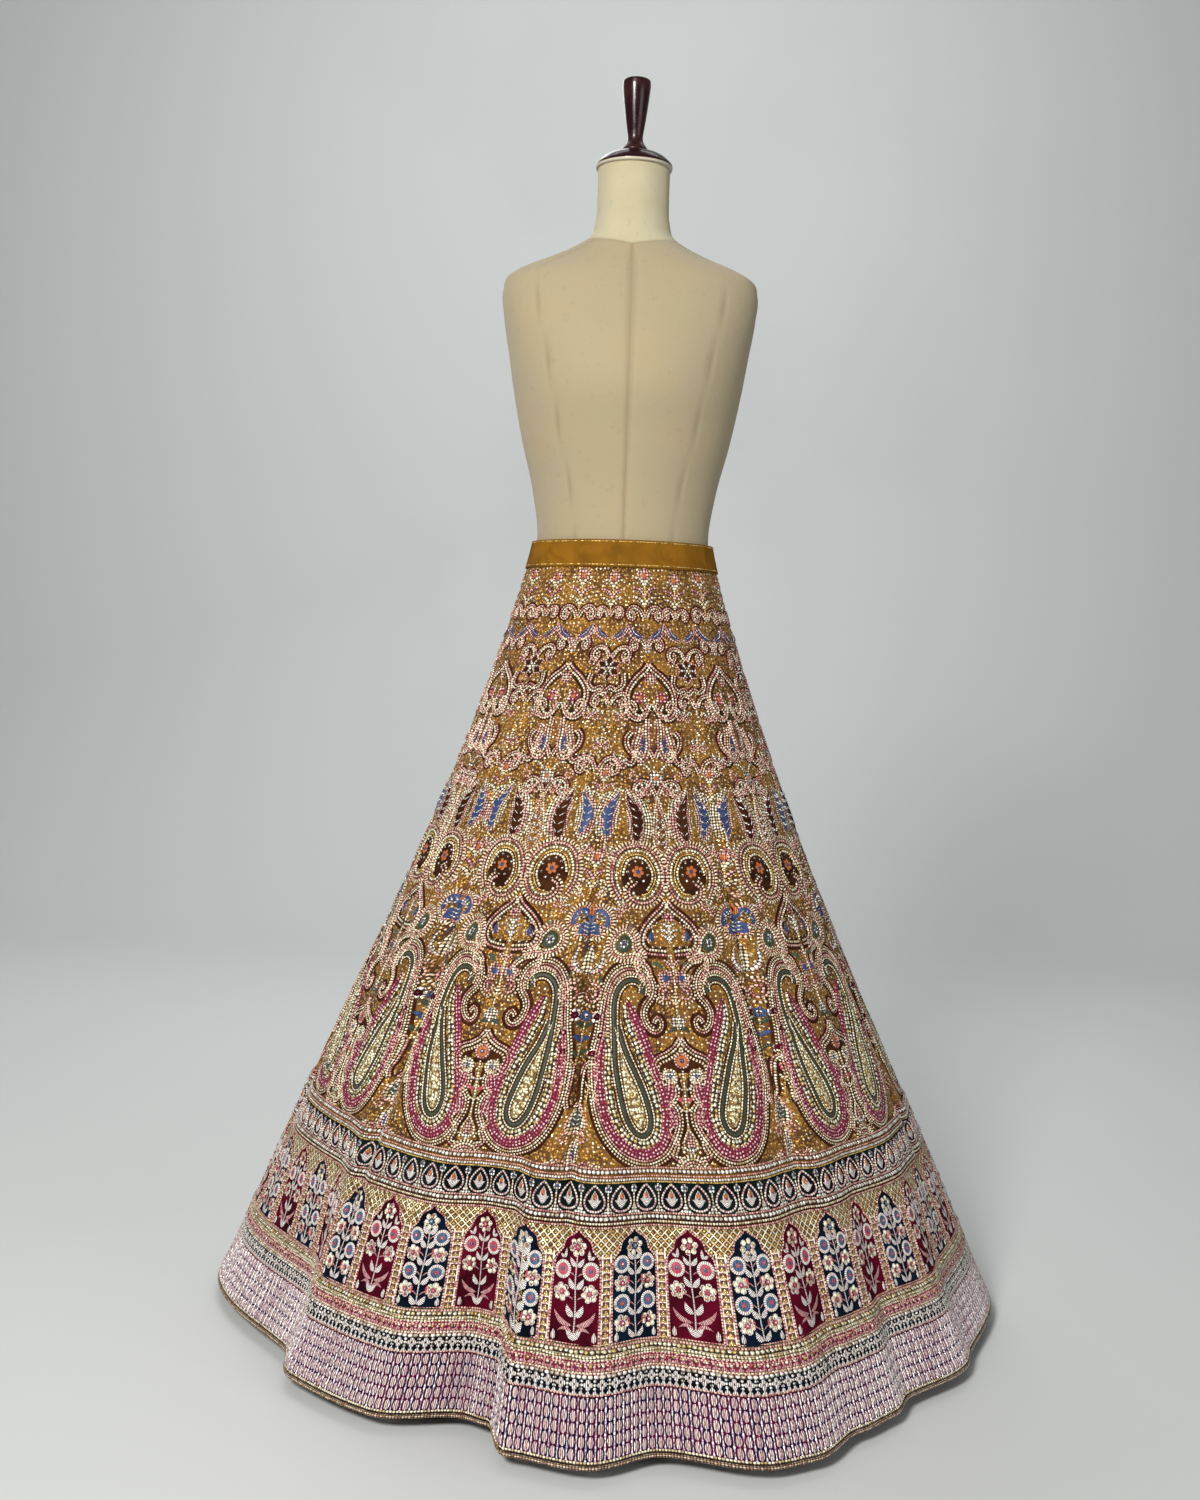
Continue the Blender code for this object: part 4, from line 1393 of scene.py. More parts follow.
def dress(
    material, base, roughness, metallic=0.0, height=None, distance=0.001, strength=1.0, normal=None, **constants,
):
    """Joins colours and values to the shader, a bump from a height, and sets its constants."""
    inputs = {"Base Color": base, "Roughness": roughness, "Metallic": metallic}
    inputs.update({name.replace("_", " "): value for name, value in constants.items()})
    if height is not None:
        bump = {"Height": height, "Distance": distance, "Strength": strength}
        if normal is not None:
            bump["Normal"] = normal
        inputs["Normal"] = Wire(add_node("ShaderNodeBump", bump).outputs[0])
    join(material.node_tree.nodes["Principled BSDF"], inputs)
    return material


def beaded(name, light, dark, gap_shade, pitch, size=0.5, unevenness=0.25, metallic=0.0, roughness=0.35, tilt=0.5):
    """Rows of beads or sequins: each between two tones and at its own tilt, on a darker colour between them, partly
    the ground beneath and partly painted shade.
    """
    material, _, cloth = new_material(name)
    field = use_group("Bead Field", Vector=cloth, Pitch=pitch, Size=size, Unevenness=unevenness, Tilt=tilt)
    bead = field["Bead"]
    # Between the beads: partly the ground beneath, partly painted shade.
    base = mixed(bead, gap_shade, mixed(mapped(field["Tone"], 0.15, 0.60), dark, light))
    return dress(
        material, base, mapped(bead, 0, 1, 0.85, roughness), bead * metallic, field["Height"], pitch * 0.4, 0.9,
        field["Normal"], Specular_IOR_Level=0.45,
    )


def laid(name, light, dark, pitch=0.0013, gap_shade=None, metallic=0.0):
    """Satin or ray stitches across a thread, with a darker line between them: partly what shows beneath, partly
    painted shade.
    """
    material, _, cloth = new_material(name)
    field = use_group("Laid Stitches", Vector=cloth, Pitch=pitch, Unevenness=0.35)
    strand = field["Strand"]
    # Between the stitches: partly what shows beneath, partly painted shade.
    base = mixed(strand, gap_shade or [part * 0.35 for part in dark], mixed(field["Tone"], dark, light))
    return dress(
        material, base, mapped(strand, 0, 1, 0.8, 0.45), metallic, field["Height"], pitch * 0.35, 0.8,
        Sheen_Weight=0.08, Sheen_Roughness=0.4,
    )


def nap_and_painted_shade(place, bright, dark, patch_size, contrast):
    """Velvet's colour, running from its dark tone to its bright one by painted light and shade in soft patches, and
    its pile.
    """
    pile = use_group("Velvet Pile", Vector=place, Patch=patch_size, Contrast=contrast)
    # Painted light and shade: the velvet's colour runs between its bright and dark tones in soft random patches.
    return mixed(pile["Shade"] * mapped(pile["Pile"], 0.3, 0.7, 0.6, 1.0), dark, bright), pile["Pile"]


def velvet(name, bright, dark, patch_size=0.05, contrast=0.2, tint=None, sheen=0.12):
    """Plain velvet: painted light and shade in soft patches, fine pile and a soft sheen."""
    material, place, _ = new_material(name)
    base, pile = nap_and_painted_shade(place, bright, dark, patch_size, contrast)
    return dress(
        material, base, mapped(pile, 0.3, 0.7, 0.75, 0.95), 0.0, pile, 0.0006, 0.6, Sheen_Weight=sheen,
        Sheen_Roughness=0.35, Sheen_Tint=tint or bright, Specular_IOR_Level=0.06,
    )


def sequined_velvet(name):
    """The panels' mustard velvet: gold threadwork flecks all over, and loose rows of bright sequins."""
    material, place, cloth = new_material(name)
    # Painted light and shade in soft patches on the mustard velvet.
    base, pile = nap_and_painted_shade(place, colours().velvet_bright, colours().velvet_dark, 0.045, 0.16)
    fleck = use_group("Bead Field", Vector=cloth, Pitch=0.0030, Size=0.42, Unevenness=1.0, Tilt=1.0)
    sequin = use_group("Bead Field", Vector=cloth, Pitch=0.0062, Size=0.23, Unevenness=0.7)
    kept = fleck["Bead"] * mapped(fleck["Tone"], 0.30, 0.40)
    base = mixed(kept, base, mixed(mapped(fleck["Tone"], 0.4, 0.9), (0.055, 0.018, 0.003), (0.56, 0.28, 0.035)))
    disc = mixed(mapped(sequin["Tone"], 0.3, 0.9), (0.66, 0.32, 0.05), (1.0, 0.90, 0.60))
    base = mixed(sequin["Bead"], base, disc)
    shine = maths("MAXIMUM", kept * 0.4, sequin["Bead"] * 0.6)
    return dress(
        material, base, mapped(shine, 0.0, 0.6, 0.9, 0.3), shine, kept * 0.4 + (sequin["Height"] + pile * 0.3),
        0.0007, 0.8, fleck["Normal"], Sheen_Weight=0.08, Sheen_Roughness=0.4, Sheen_Tint=(1.0, 0.62, 0.22),
    )


def trellis(name):
    """Gold threads crossing in diamonds on brown velvet, with a sequin in each diamond."""
    material, _, cloth = new_material(name)
    across, up, _ = parts_of(cloth)
    lines = (maths(way, across, up * 1.05) / TRELLIS_PITCH for way in ("ADD", "SUBTRACT"))
    far = maths("MAXIMUM", *(maths("ABSOLUTE", maths("FRACT", line) - 0.5) for line in lines))
    thread, jewel = mapped(far, 0.35, 0.41), mapped(far, 0.24, 0.17)
    field = use_group("Bead Field", Vector=cloth, Pitch=0.0027, Size=0.5, Unevenness=0.6, Tilt=0.8)
    tone = mapped(field["Tone"], 0.2, 0.7)
    base = mixed(jewel, (0.040, 0.014, 0.003), mixed(tone, (0.26, 0.12, 0.015), (0.80, 0.54, 0.15)))
    base = mixed(thread, base, mixed(tone, (0.52, 0.33, 0.13), (1.0, 0.95, 0.72)))
    shine = maths("MAXIMUM", thread * 0.35, jewel * 0.7)
    height = maths("MAXIMUM", thread, jewel) + field["Height"] * 0.3
    return dress(material, base, mapped(shine, 0, 0.7, 0.85, 0.3), shine, height, 0.0009, 0.9, field["Normal"])


def gems(name):
    """A ladder of gold triangles between beaded rungs."""
    material, _, cloth = new_material(name)
    side, up, _ = parts_of(cloth)
    rung = maths("FRACT", up / RUNG_PITCH)
    across = maths("ABSOLUTE", side / LADDER_HALF_WIDTH)
    gem = mapped(0.78 - rung - across, 0.0, 0.08)
    line = maths("MAXIMUM", mapped(rung, 0.80, 0.86), mapped(across, 0.70, 0.78))
    field = use_group("Bead Field", Vector=cloth, Pitch=0.0024, Size=0.5, Unevenness=0.2)
    beads_tone = mixed(mapped(field["Tone"], 0.2, 0.6), (0.44, 0.15, 0.15), (0.94, 0.84, 0.72))
    base = mixed(line, mixed(gem, (0.080, 0.022, 0.010), (0.60, 0.42, 0.16)), beads_tone)
    height = maths("MAXIMUM", gem, line) + field["Height"]
    return dress(material, base, mapped(gem, 0, 1, 0.6, 0.25), gem * 0.7, height, 0.0008, 0.8)


def canvas(name):
    """The form's canvas: a fine weave, faint stains, darker below the neck's seam (partly a browner cover, partly
    painted shade), and stitched seams.
    """
    material, place, cloth = new_material(name)
    threads = [maths("SINE", part * (2 * math.pi / WEAVE_PITCH)) for part in parts_of(cloth)[:2]]
    weave = maths("ADD", *threads) * 0.5
    wear = use_group("Handling", Vector=place, Spread=0.10)
    aside, _, height = parts_of(place)
    rise = height - maths("ABSOLUTE", aside) * NECK_SEAM_RISE
    clean = colours().canvas
    # Below the neck's seam the canvas is darker: partly a browner cover, partly painted shade.
    cover = [part * share for part, share in zip(clean, (0.72, 0.66, 0.62))]
    base = mixed(mapped(rise, NECK_SEAM - 0.0005, NECK_SEAM + 0.0005), cover, clean)
    base = mixed(wear["Stain"] * 0.35, base, (0.40, 0.30, 0.17))
    base = mixed(mapped(weave, -0.9, 0.9, 0.0, 0.12), base, (0.22, 0.17, 0.10))
    base = mixed(wear["Scuff"] * 0.18, base, (0.24, 0.17, 0.10))
    seam = material.node_tree.nodes.new("ShaderNodeAttribute")
    seam.attribute_name = "seam"
    base = mixed(Wire(seam.outputs["Fac"]) * 0.40, base, (0.20, 0.14, 0.08))
    return dress(
        material, base, mapped(weave, -1, 1, 0.78, 0.92), 0.0, weave, 0.0003, 0.5, Sheen_Weight=0.12,
        Specular_IOR_Level=0.3,
    )


def lacquer(name):
    """Dark lacquered wood: grain under a coat, rubbed redder in soft patches, with pale chips on the cap's rim."""
    material, place, _ = new_material(name)
    stretched = Wire(add_node("ShaderNodeMapping", {"Vector": place, "Scale": (60, 60, 9)}).outputs[0])
    grain = noise(stretched, 3.0, 4.0)
    wear = use_group("Handling", Vector=place, Spread=0.035)
    dark = colours().lacquer
    base = mixed(grain, dark, [part * 2.6 for part in dark])
    base = mixed(wear["Stain"] * 0.25, base, (0.070, 0.014, 0.010))
    low = float(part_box("neck_cap")[0][2])
    edge = mapped(parts_of(place)[2], low + 0.0036, low + 0.0024)
    rim = maths("MULTIPLY", edge, wear["Scuff"] + 0.75, clamp=True)
    return dress(
        material, mixed(rim, base, (0.62, 0.55, 0.42)), mapped(wear["Stain"], 0, 1, 0.20, 0.38) + rim * 0.3, 0.0,
        grain + wear["Scuff"], 0.0002, 0.35, Coat_Weight=0.10, Coat_Roughness=0.08, Specular_IOR_Level=0.30,
    )


def painted_iron(name):
    """The stand: black enamelled iron, rubbed to grey in patches."""
    material, place, _ = new_material(name)
    wear = use_group("Handling", Vector=place, Spread=0.08)
    base = mixed(wear["Scuff"], (0.018, 0.017, 0.016), (0.16, 0.15, 0.14))
    base = mixed(wear["Stain"] * 0.3, base, (0.06, 0.045, 0.03))
    rough = mapped(wear["Stain"], 0, 1, 0.32, 0.55)
    return dress(material, base, rough, wear["Scuff"] * 0.6, wear["Scuff"], 0.0003, 0.4)


def paint(name):
    """The floor's plain pale paint."""
    material, place, _ = new_material(name)
    wear = use_group("Handling", Vector=place, Spread=0.9)
    floor = colours().floor
    base = mixed(wear["Stain"] * 0.25, floor, [part * 0.94 for part in floor])
    return dress(material, base, mapped(wear["Stain"], 0, 1, 0.55, 0.65))


# The dark between beads: partly the ground beneath, partly painted shade.
GAP_SHADE = (0.028, 0.009, 0.003)


def make_materials():
    """Every material, by name. Threads keep the names that the patterns use."""
    group("Bead Field", bead_field, Pitch=0.003, Unevenness=0.5, Size=0.45, Tilt=0.5)
    group("Laid Stitches", laid_stitches, Pitch=0.0012, Unevenness=0.3)
    group("Velvet Pile", velvet_pile, Patch=0.05, Contrast=0.2)
    group("Handling", handling, Spread=0.12)
    bright = tuple(colours().velvet_bright)
    return {
        "pearl": beaded("Pearl Beads", (0.94, 0.86, 0.64), (0.5, 0.36, 0.17), GAP_SHADE, 0.0036, 0.45, 0.12),
        "rose": beaded(
            "Rose Beads", (0.86, 0.52, 0.42), (0.42, 0.14, 0.12), (0.03, 0.004, 0.005), 0.0033, 0.44, 0.12,
        ),
        "gold": beaded("Gold Thread", (0.88, 0.62, 0.2), (0.42, 0.22, 0.05), GAP_SHADE, 0.0026, 0.5, 0.1, metallic=0.5),
        "magenta": beaded(
            "Magenta Beadwork", (0.94, 0.56, 0.56), (0.4, 0.03, 0.09), (0.115, 0.002, 0.02), 0.0044, 0.32, 0.3,
        ),
        "green": laid("Green Satin", (0.05, 0.072, 0.036), (0.024, 0.04, 0.018), 0.0016),
        "sequin_fill": beaded(
            "Sequin Filling", (0.98, 0.95, 0.64), (0.5, 0.36, 0.12), (0.16, 0.085, 0.025), 0.0042, 0.52, 0.8,
            metallic=0.4, roughness=0.22, tilt=0.9,
        ),
        "flower_sequins": beaded(
            "Flower Sequins", (0.98, 0.95, 0.7), (0.6, 0.42, 0.14), (0.03, 0.012, 0.005), 0.0054, 0.44, 0.3,
            metallic=0.4, roughness=0.22, tilt=0.8,
        ),
        "blue": laid("Blue Satin", (0.04, 0.095, 0.3), (0.012, 0.036, 0.14)),
        "purple": laid("Purple Satin", (0.06, 0.045, 0.2), (0.026, 0.018, 0.1)),
        "orange": laid("Orange Satin", (0.8, 0.26, 0.04), (0.52, 0.11, 0.015)),
        "pink": laid("Pink Satin", (0.86, 0.12, 0.17), (0.52, 0.03, 0.08)),
        "cream_satin": laid("Cream Satin", (0.92, 0.8, 0.56), (0.6, 0.44, 0.24)),
        "silver": beaded(
            "Silver Beads", (0.97, 0.95, 0.88), (0.52, 0.46, 0.36), (0.04, 0.022, 0.014), 0.0038, 0.46, 0.12,
            metallic=0.25, roughness=0.22, tilt=0.7,
        ),
        "seed_gold": laid("Seed Gold", (0.88, 0.7, 0.54), (0.58, 0.34, 0.28), 0.0016, metallic=0.1),
        # Dark brown velvet, also laid flat under cords as painted shade.
        "brown_velvet_and_painted_shade": velvet("Brown Velvet and Painted Shade", (0.06, 0.02, 0.006), (0.022, 0.006, 0.003), 0.02),
        "maroon_velvet": velvet("Maroon Velvet", (0.112, 0.0012, 0.014), (0.018, 0.0004, 0.003), 0.03, sheen=0.03),
        "navy_velvet": velvet(
            "Navy Velvet", (0.0026, 0.011, 0.026), (0.0007, 0.0014, 0.005), 0.05, tint=(0.06, 0.22, 0.3),
            sheen=0.07,
        ),
        "teal": laid("Leaf Satin", (0.08, 0.15, 0.08), (0.035, 0.07, 0.04)),
        "rays": laid("Ray Stitches", (0.96, 0.84, 0.58), (0.66, 0.4, 0.22), 0.004, gap_shade=(0.028, 0.009, 0.004)),
        "white_rays": laid("White Rays", (1.0, 0.97, 0.92), (0.82, 0.77, 0.72), 0.0021, gap_shade=(0.34, 0.26, 0.24)),
        "petal_discs": beaded(
            "Petal Sequins", (0.98, 0.92, 0.62), (0.44, 0.26, 0.16), (0.2, 0.1, 0.08), 0.006, 0.7, 0.9,
            metallic=0.3, roughness=0.25, tilt=0.8,
        ),
        "white": laid("White Satin", (0.99, 0.97, 0.93), (0.72, 0.68, 0.62), 0.0017, gap_shade=(0.18, 0.12, 0.12)),
        "rose_satin": laid("Rose Satin", (0.84, 0.5, 0.48), (0.5, 0.2, 0.22), 0.0017, gap_shade=(0.12, 0.02, 0.03)),
        "steel_satin": laid("Steel Satin", (0.1, 0.22, 0.38), (0.03, 0.08, 0.18), 0.0017),
        "large_silver": beaded(
            "Large Silver Beads", (1.0, 0.97, 0.88), (0.5, 0.42, 0.32), (0.03, 0.012, 0.01), 0.0056, 0.45, 0.2,
            metallic=0.25, roughness=0.22, tilt=0.8,
        ),
        "oval_rim": laid("Oval Rims", (0.98, 0.9, 0.86), (0.58, 0.43, 0.44), 0.0021, gap_shade=(0.16, 0.06, 0.1)),
        "edge_beads": beaded("Edge Beads", (0.82, 0.64, 0.44), (0.4, 0.2, 0.13), GAP_SHADE, 0.0034, 0.45, 0.15),
        "drop_velvet": velvet(
            "Dark Green Velvet", (0.006, 0.016, 0.017), (0.001, 0.0018, 0.0022), 0.05, tint=(0.08, 0.26, 0.22),
        ),
        "mustard_ground": velvet("Mustard Ground", (0.22, 0.09, 0.006), (0.08, 0.028, 0.004), 0.03),
        "mauve_rim": beaded(
            "Mauve Rim", (0.9, 0.78, 0.68), (0.52, 0.28, 0.3), (0.07, 0.01, 0.026), 0.0032, 0.47, 0.12, tilt=0.7,
        ),
        "lilac_chain": beaded(
            "Lilac Chain", (1.0, 0.96, 0.97), (0.58, 0.46, 0.56), (0.16, 0.07, 0.15), 0.0036, 0.55, 0.12,
            metallic=0.25, roughness=0.25, tilt=0.8,
        ),
        "gem_ladder": gems("Gem Ladder"), "sequined_velvet": sequined_velvet("Mustard Velvet"),
        "plain_velvet": velvet("Mustard Velvet, Plain", bright, [part * 0.6 for part in bright], 0.03),
        "plum_velvet": velvet("Plum Velvet", (0.085, 0.003, 0.022), (0.012, 0.003, 0.026), 0.012, contrast=0.1),
        "trellis": trellis("Gold Trellis"), "canvas": canvas("Form Canvas"), "lacquer": lacquer("Lacquered Wood"),
        "iron": painted_iron("Enamelled Iron"), "paint": paint("Floor Paint"),
    }


MATERIALS = {}


# ---------------------------------------------------------------- pieces

# The piping: steps round the hem, its radius, how far it hangs below the edge, and its thread to each step.
PIPING_STEPS = 480
PIPING_RADIUS, PIPING_DROP, PIPING_RUN = (0.0024, 0.003, 0.0072)

# The form: how deep its seams sink, and the columns round its turned pieces.
FORM_SEAM_DIP = 0.0016
LATHE_SIDES = 72


def sewn(name, work, points):
    """A pattern laid on the skirt as one piece, with only the threads that it uses."""
    used = np.unique(work.threads)
    slots = np.searchsorted(used, work.threads)
    piece = new_mesh_object(
        name, points, work.triangles, work.uv, [MATERIALS[THREADS[index]] for index in used], slots,
    )
    return piece


def stand_for(piece, node):
    """The piece is shown for a node of the frame, in a material slot."""
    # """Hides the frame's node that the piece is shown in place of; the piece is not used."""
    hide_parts(node)


def on_panel(work, centre, hand):
    """A panel's pattern on the skirt: x from its centre line, y minus the metres down, with a hand's slight
    sway."""
    x, y, out = work.points.T
    x = x + 0.0007 * np.sin(31 * y + 2.1 * hand) + 0.0004 * np.sin(97 * y + hand)
    y = y + 0.0007 * np.sin(43 * x + 1.3 * hand)
    share = share_at(-y)
    return lifted(centre + np.degrees(x / mean_radius(share)), share, out)


def on_border(work, name, units, pitch, base):
    """A border's pattern on the skirt: x is shared out evenly in turns, y is from the border's top."""
    x, y, out = work.points.T
    share = share_at(down_at(BORDERS[name][0]) - y)
    return lifted(x / (units * pitch) * 360, share, out + base)


def panel_area():
    """A panel's cut area: its width at each height along the cloth, added up."""
    down = down_table()
    width = 2 * np.pi / KALI_COUNT * mean_radius(SHARES)
    return float(np.sum((width[1:] + width[:-1]) / 2 * np.diff(down)))


def panel_turns(number):
    """A panel's columns, closer together beside its seams."""
    offsets = np.concatenate((np.linspace(-19, 19, 39), (-19.98, -19.8, -19.6, -19.35, 19.35, 19.6, 19.8, 19.98)))
    return FIRST_SEAM + (number - 0.5) * KALI_TURN + np.sort(offsets)


class LEHENGA_OT_panels(bpy.types.Operator):
    """Cut and embroider the nine velvet panels"""
    bl_idname = "lehenga.panels"
    bl_label = "Panels"

    def execute(self, context):
        work = panel_needlework()
        shares = np.linspace(0, 1, 111)
        long_way = float(down_at(1.0))
        for number in range(1, KALI_COUNT + 1):
            turns = panel_turns(number)
            panel = cloth_sheet(f"panel_{number}", turns, shares, 0.0, sizes().cloth, MATERIALS["sequined_velvet"])
            stand_for(panel, f"kali_{number}")
            hand = Work(work.points, work.triangles, work.uv + (0.31 * number, 0.0), work.threads)
            points = on_panel(hand, turns.mean(), number)
            stitching = sewn(f"panel_{number}_needlework", hand, points)
            panel_area()
        return {"FINISHED"}


class LEHENGA_OT_waistband(bpy.types.Operator):
    """Make the waistband, its lapped tab and their stitched edges"""
    bl_idname = "lehenga.waistband"
    bl_label = "Waistband"

    def execute(self, context):
        shares = np.linspace(0.0005, WAISTBAND_SHARE, 9)
        turns = CLOSING_TURN + np.linspace(0.3, 359.7, 145)
        band = cloth_sheet("waistband_velvet", turns, shares, 0.0022, 0.0018, MATERIALS["plain_velvet"])
        stand_for(band, "waistband")
        degree = np.linspace(0.5, 359.5, 260)
        rows = [
            cord(np.stack((degree * 0.001, np.full(degree.shape, y)), -1), 0.0014, "gold", height=0.0006)
            for y in -down_at(np.array((0.003, WAISTBAND_SHARE - 0.003)))
        ]
        work = gathered(*rows)
        x, y, out = work.points.T
        points = lifted(CLOSING_TURN + x * 1000, share_at(-y), out + 0.002)
        edges = sewn("waistband_stitching", work, points)
        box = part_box("waistband_tab")
        middle = np.degrees(np.arctan2(box[0][0] + box[1][0], -(box[0][1] + box[1][1])))
        turns = middle + np.linspace(-8.2, 8.2, 15)
        shares = np.linspace(0.003, WAISTBAND_SHARE - 0.003, 7)
        tab = cloth_sheet("waistband_lap", turns, shares, 0.0044, 0.0016, MATERIALS["plain_velvet"])
        stand_for(tab, "waistband_tab")
        return {"FINISHED"}


class LEHENGA_OT_borders(bpy.types.Operator):
    """Sew the six borders and the hem's piping round the skirt"""
    bl_idname = "lehenga.borders"
    bl_label = "Borders"

    def execute(self, context):
        count = sizes().arches
        # border, needlework, ground, slot, thickness
        plans = (
            ("drop_border", drop_needlework(count), "drop_velvet", "navy_velvet", 0.0012),
            ("arch_border", arch_needlework(count), "trellis", "gold_thread_ground", 0.0012),
            ("gold_braid", gold_braid_needlework(count), "cream_satin", "gold_braid", 0.002),
            ("rose_braid", rose_braid_needlework(count), "maroon_velvet", "rose_braid", 0.002),
            ("diamond_braid", diamond_braid_needlework(count), "navy_velvet", "diamond_braid", 0.002),
            ("hem_border", hem_needlework(), "plum_velvet", "rose_sequin_work", 0.0012),
        )
        for name, work, ground, slot, thickness in plans:
            top, bottom = BORDERS[name]
            deep = float(down_at(bottom) - down_at(top))
            turns = np.linspace(FIRST_SEAM, FIRST_SEAM + 360, 361)
            shares = np.linspace(top + 0.0002, bottom - 0.0002, 3 + int(deep / 0.012))
            lift = 0.0006 + thickness
            sheet = cloth_sheet(name + "_cloth", turns, shares, lift, thickness, MATERIALS[ground])
            self.even_cloth(sheet, turns, shares, top)
            stand_for(sheet, name)
            units, pitch = (OVAL_COLUMNS, OVAL_PITCH) if name == "hem_border" else (count, ARCH_PITCH)
            stitching = sewn(name + "_needlework", work, on_border(work, name, units, pitch, lift))
            ring = skirt_at(np.linspace(0, 360, 721), bottom)
        self.piping()
        return {"FINISHED"}

    @staticmethod
    def even_cloth(sheet, turns, shares, top):
        """A border's own map: x by turn alone, as its needlework has it, and y from its top edge."""
        turn, share = np.meshgrid(turns, shares)
        around = turn / 360 * sizes().arches * ARCH_PITCH
        even = np.stack((around, down_at(top) - down_at(share)), -1).reshape(-1, 2)
        corners = np.zeros(len(sheet.data.loops), np.int32)
        sheet.data.loops.foreach_get("vertex_index", corners)
        sheet.data.uv_layers["Cloth"].data.foreach_set("uv", even[corners].astype(np.float32).ravel())

    @staticmethod
    def piping():
        """The corded edge under the hem: a round section carried round the cloth's edge, along its slope."""
        turn = FIRST_SEAM + 360 * np.arange(PIPING_STEPS) / PIPING_STEPS
        edge = skirt_at(turn, 1.0)
        slope = edge - skirt_at(turn, 0.998)
        slope /= np.linalg.norm(slope, axis=1, keepdims=True)
        across = lifted(turn, np.ones(turn.shape), np.ones(turn.shape)) - edge
        angle = ring_points(10)
        section = np.cos(angle)[:, None] * across[:, None] + np.sin(angle)[:, None] * slope[:, None]
        ring = (edge + slope * PIPING_DROP)[:, None] + PIPING_RADIUS * section
        triangles = grid_triangles(len(turn), len(angle), closed=True, looped=True)[:, ::-1]
        run = np.repeat(np.arange(len(turn)) * PIPING_RUN, len(angle))
        uv = np.stack((run, np.tile(angle * PIPING_RADIUS, len(turn))), -1)
        piece = new_mesh_object("hem_cord", ring.reshape(-1, 3), triangles, uv, [MATERIALS["edge_beads"]])
        stand_for(piece, "hem_piping")


def body_rings(heights):
    """The form's half width, front depth, back depth and squareness at each height: a cubic through each two
    of BODY's rows, with the slopes that their neighbours give."""
    known, table = np.split(np.array(BODY), (1,), axis=1)
    known = known[:, 0]
    slopes = np.gradient(table, known, axis=0)
    place = np.clip(np.searchsorted(known, heights, side="right") - 1, 0, len(known) - 2)
    step = (known[place + 1] - known[place])[:, None]
    way = (heights - known[place])[:, None] / step
    return (
        table[place] * (2 * way**3 - 3 * way**2 + 1) + table[place + 1] * (3 * way**2 - 2 * way**3)
        + slopes[place] * step * (way**3 - 2 * way**2 + way) + slopes[place + 1] * step * (way**3 - way**2)
    )


def ended(rings, triangles, closed=True):
    """Rows of points from low to high, with a point on the axis that ends the first row, and another the last.
    A row that isn't closed starts and ends at one place."""
    rows, columns = rings.shape[:2]
    count, rim = rows * columns, np.arange(columns)
    ends = np.array([(0, 0, rings[row, 0, 2]) for row in (0, -1)])
    low, high = fan(rim, count)[:, (1, 0, 2)], fan(rim + count - columns, count + 1)
    if not closed:
        low, high = low[:-1], high[:-1]
    return np.concatenate((rings.reshape(-1, 3), ends)), np.concatenate((triangles, low, high))


def lathe(name, node, stops):
    """A turned and lacquered shape on its node's foot: a smooth profile of (radius, metres up) carried round
    and closed at both ends."""
    radius, up = smooth_path(stops, 0.0012).T
    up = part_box(node)[0][2] + np.clip(up, 0, stops[-1][1])
    angle = ring_points(LATHE_SIDES)
    rings = np.stack(np.broadcast_arrays(
        radius[:, None] * np.sin(angle), -radius[:, None] * np.cos(angle), up[:, None],
    ), -1)
    triangles = grid_triangles(len(radius), LATHE_SIDES, closed=True)[:, ::-1]
    points, triangles = ended(rings, triangles)
    uv = np.stack((np.tile(angle * 0.05, len(radius)), np.repeat(up, LATHE_SIDES)), -1)
    uv = np.concatenate((uv, np.zeros((2, 2))))
    stand_for(new_mesh_object(name, points, triangles, uv, [MATERIALS["lacquer"]]), node)


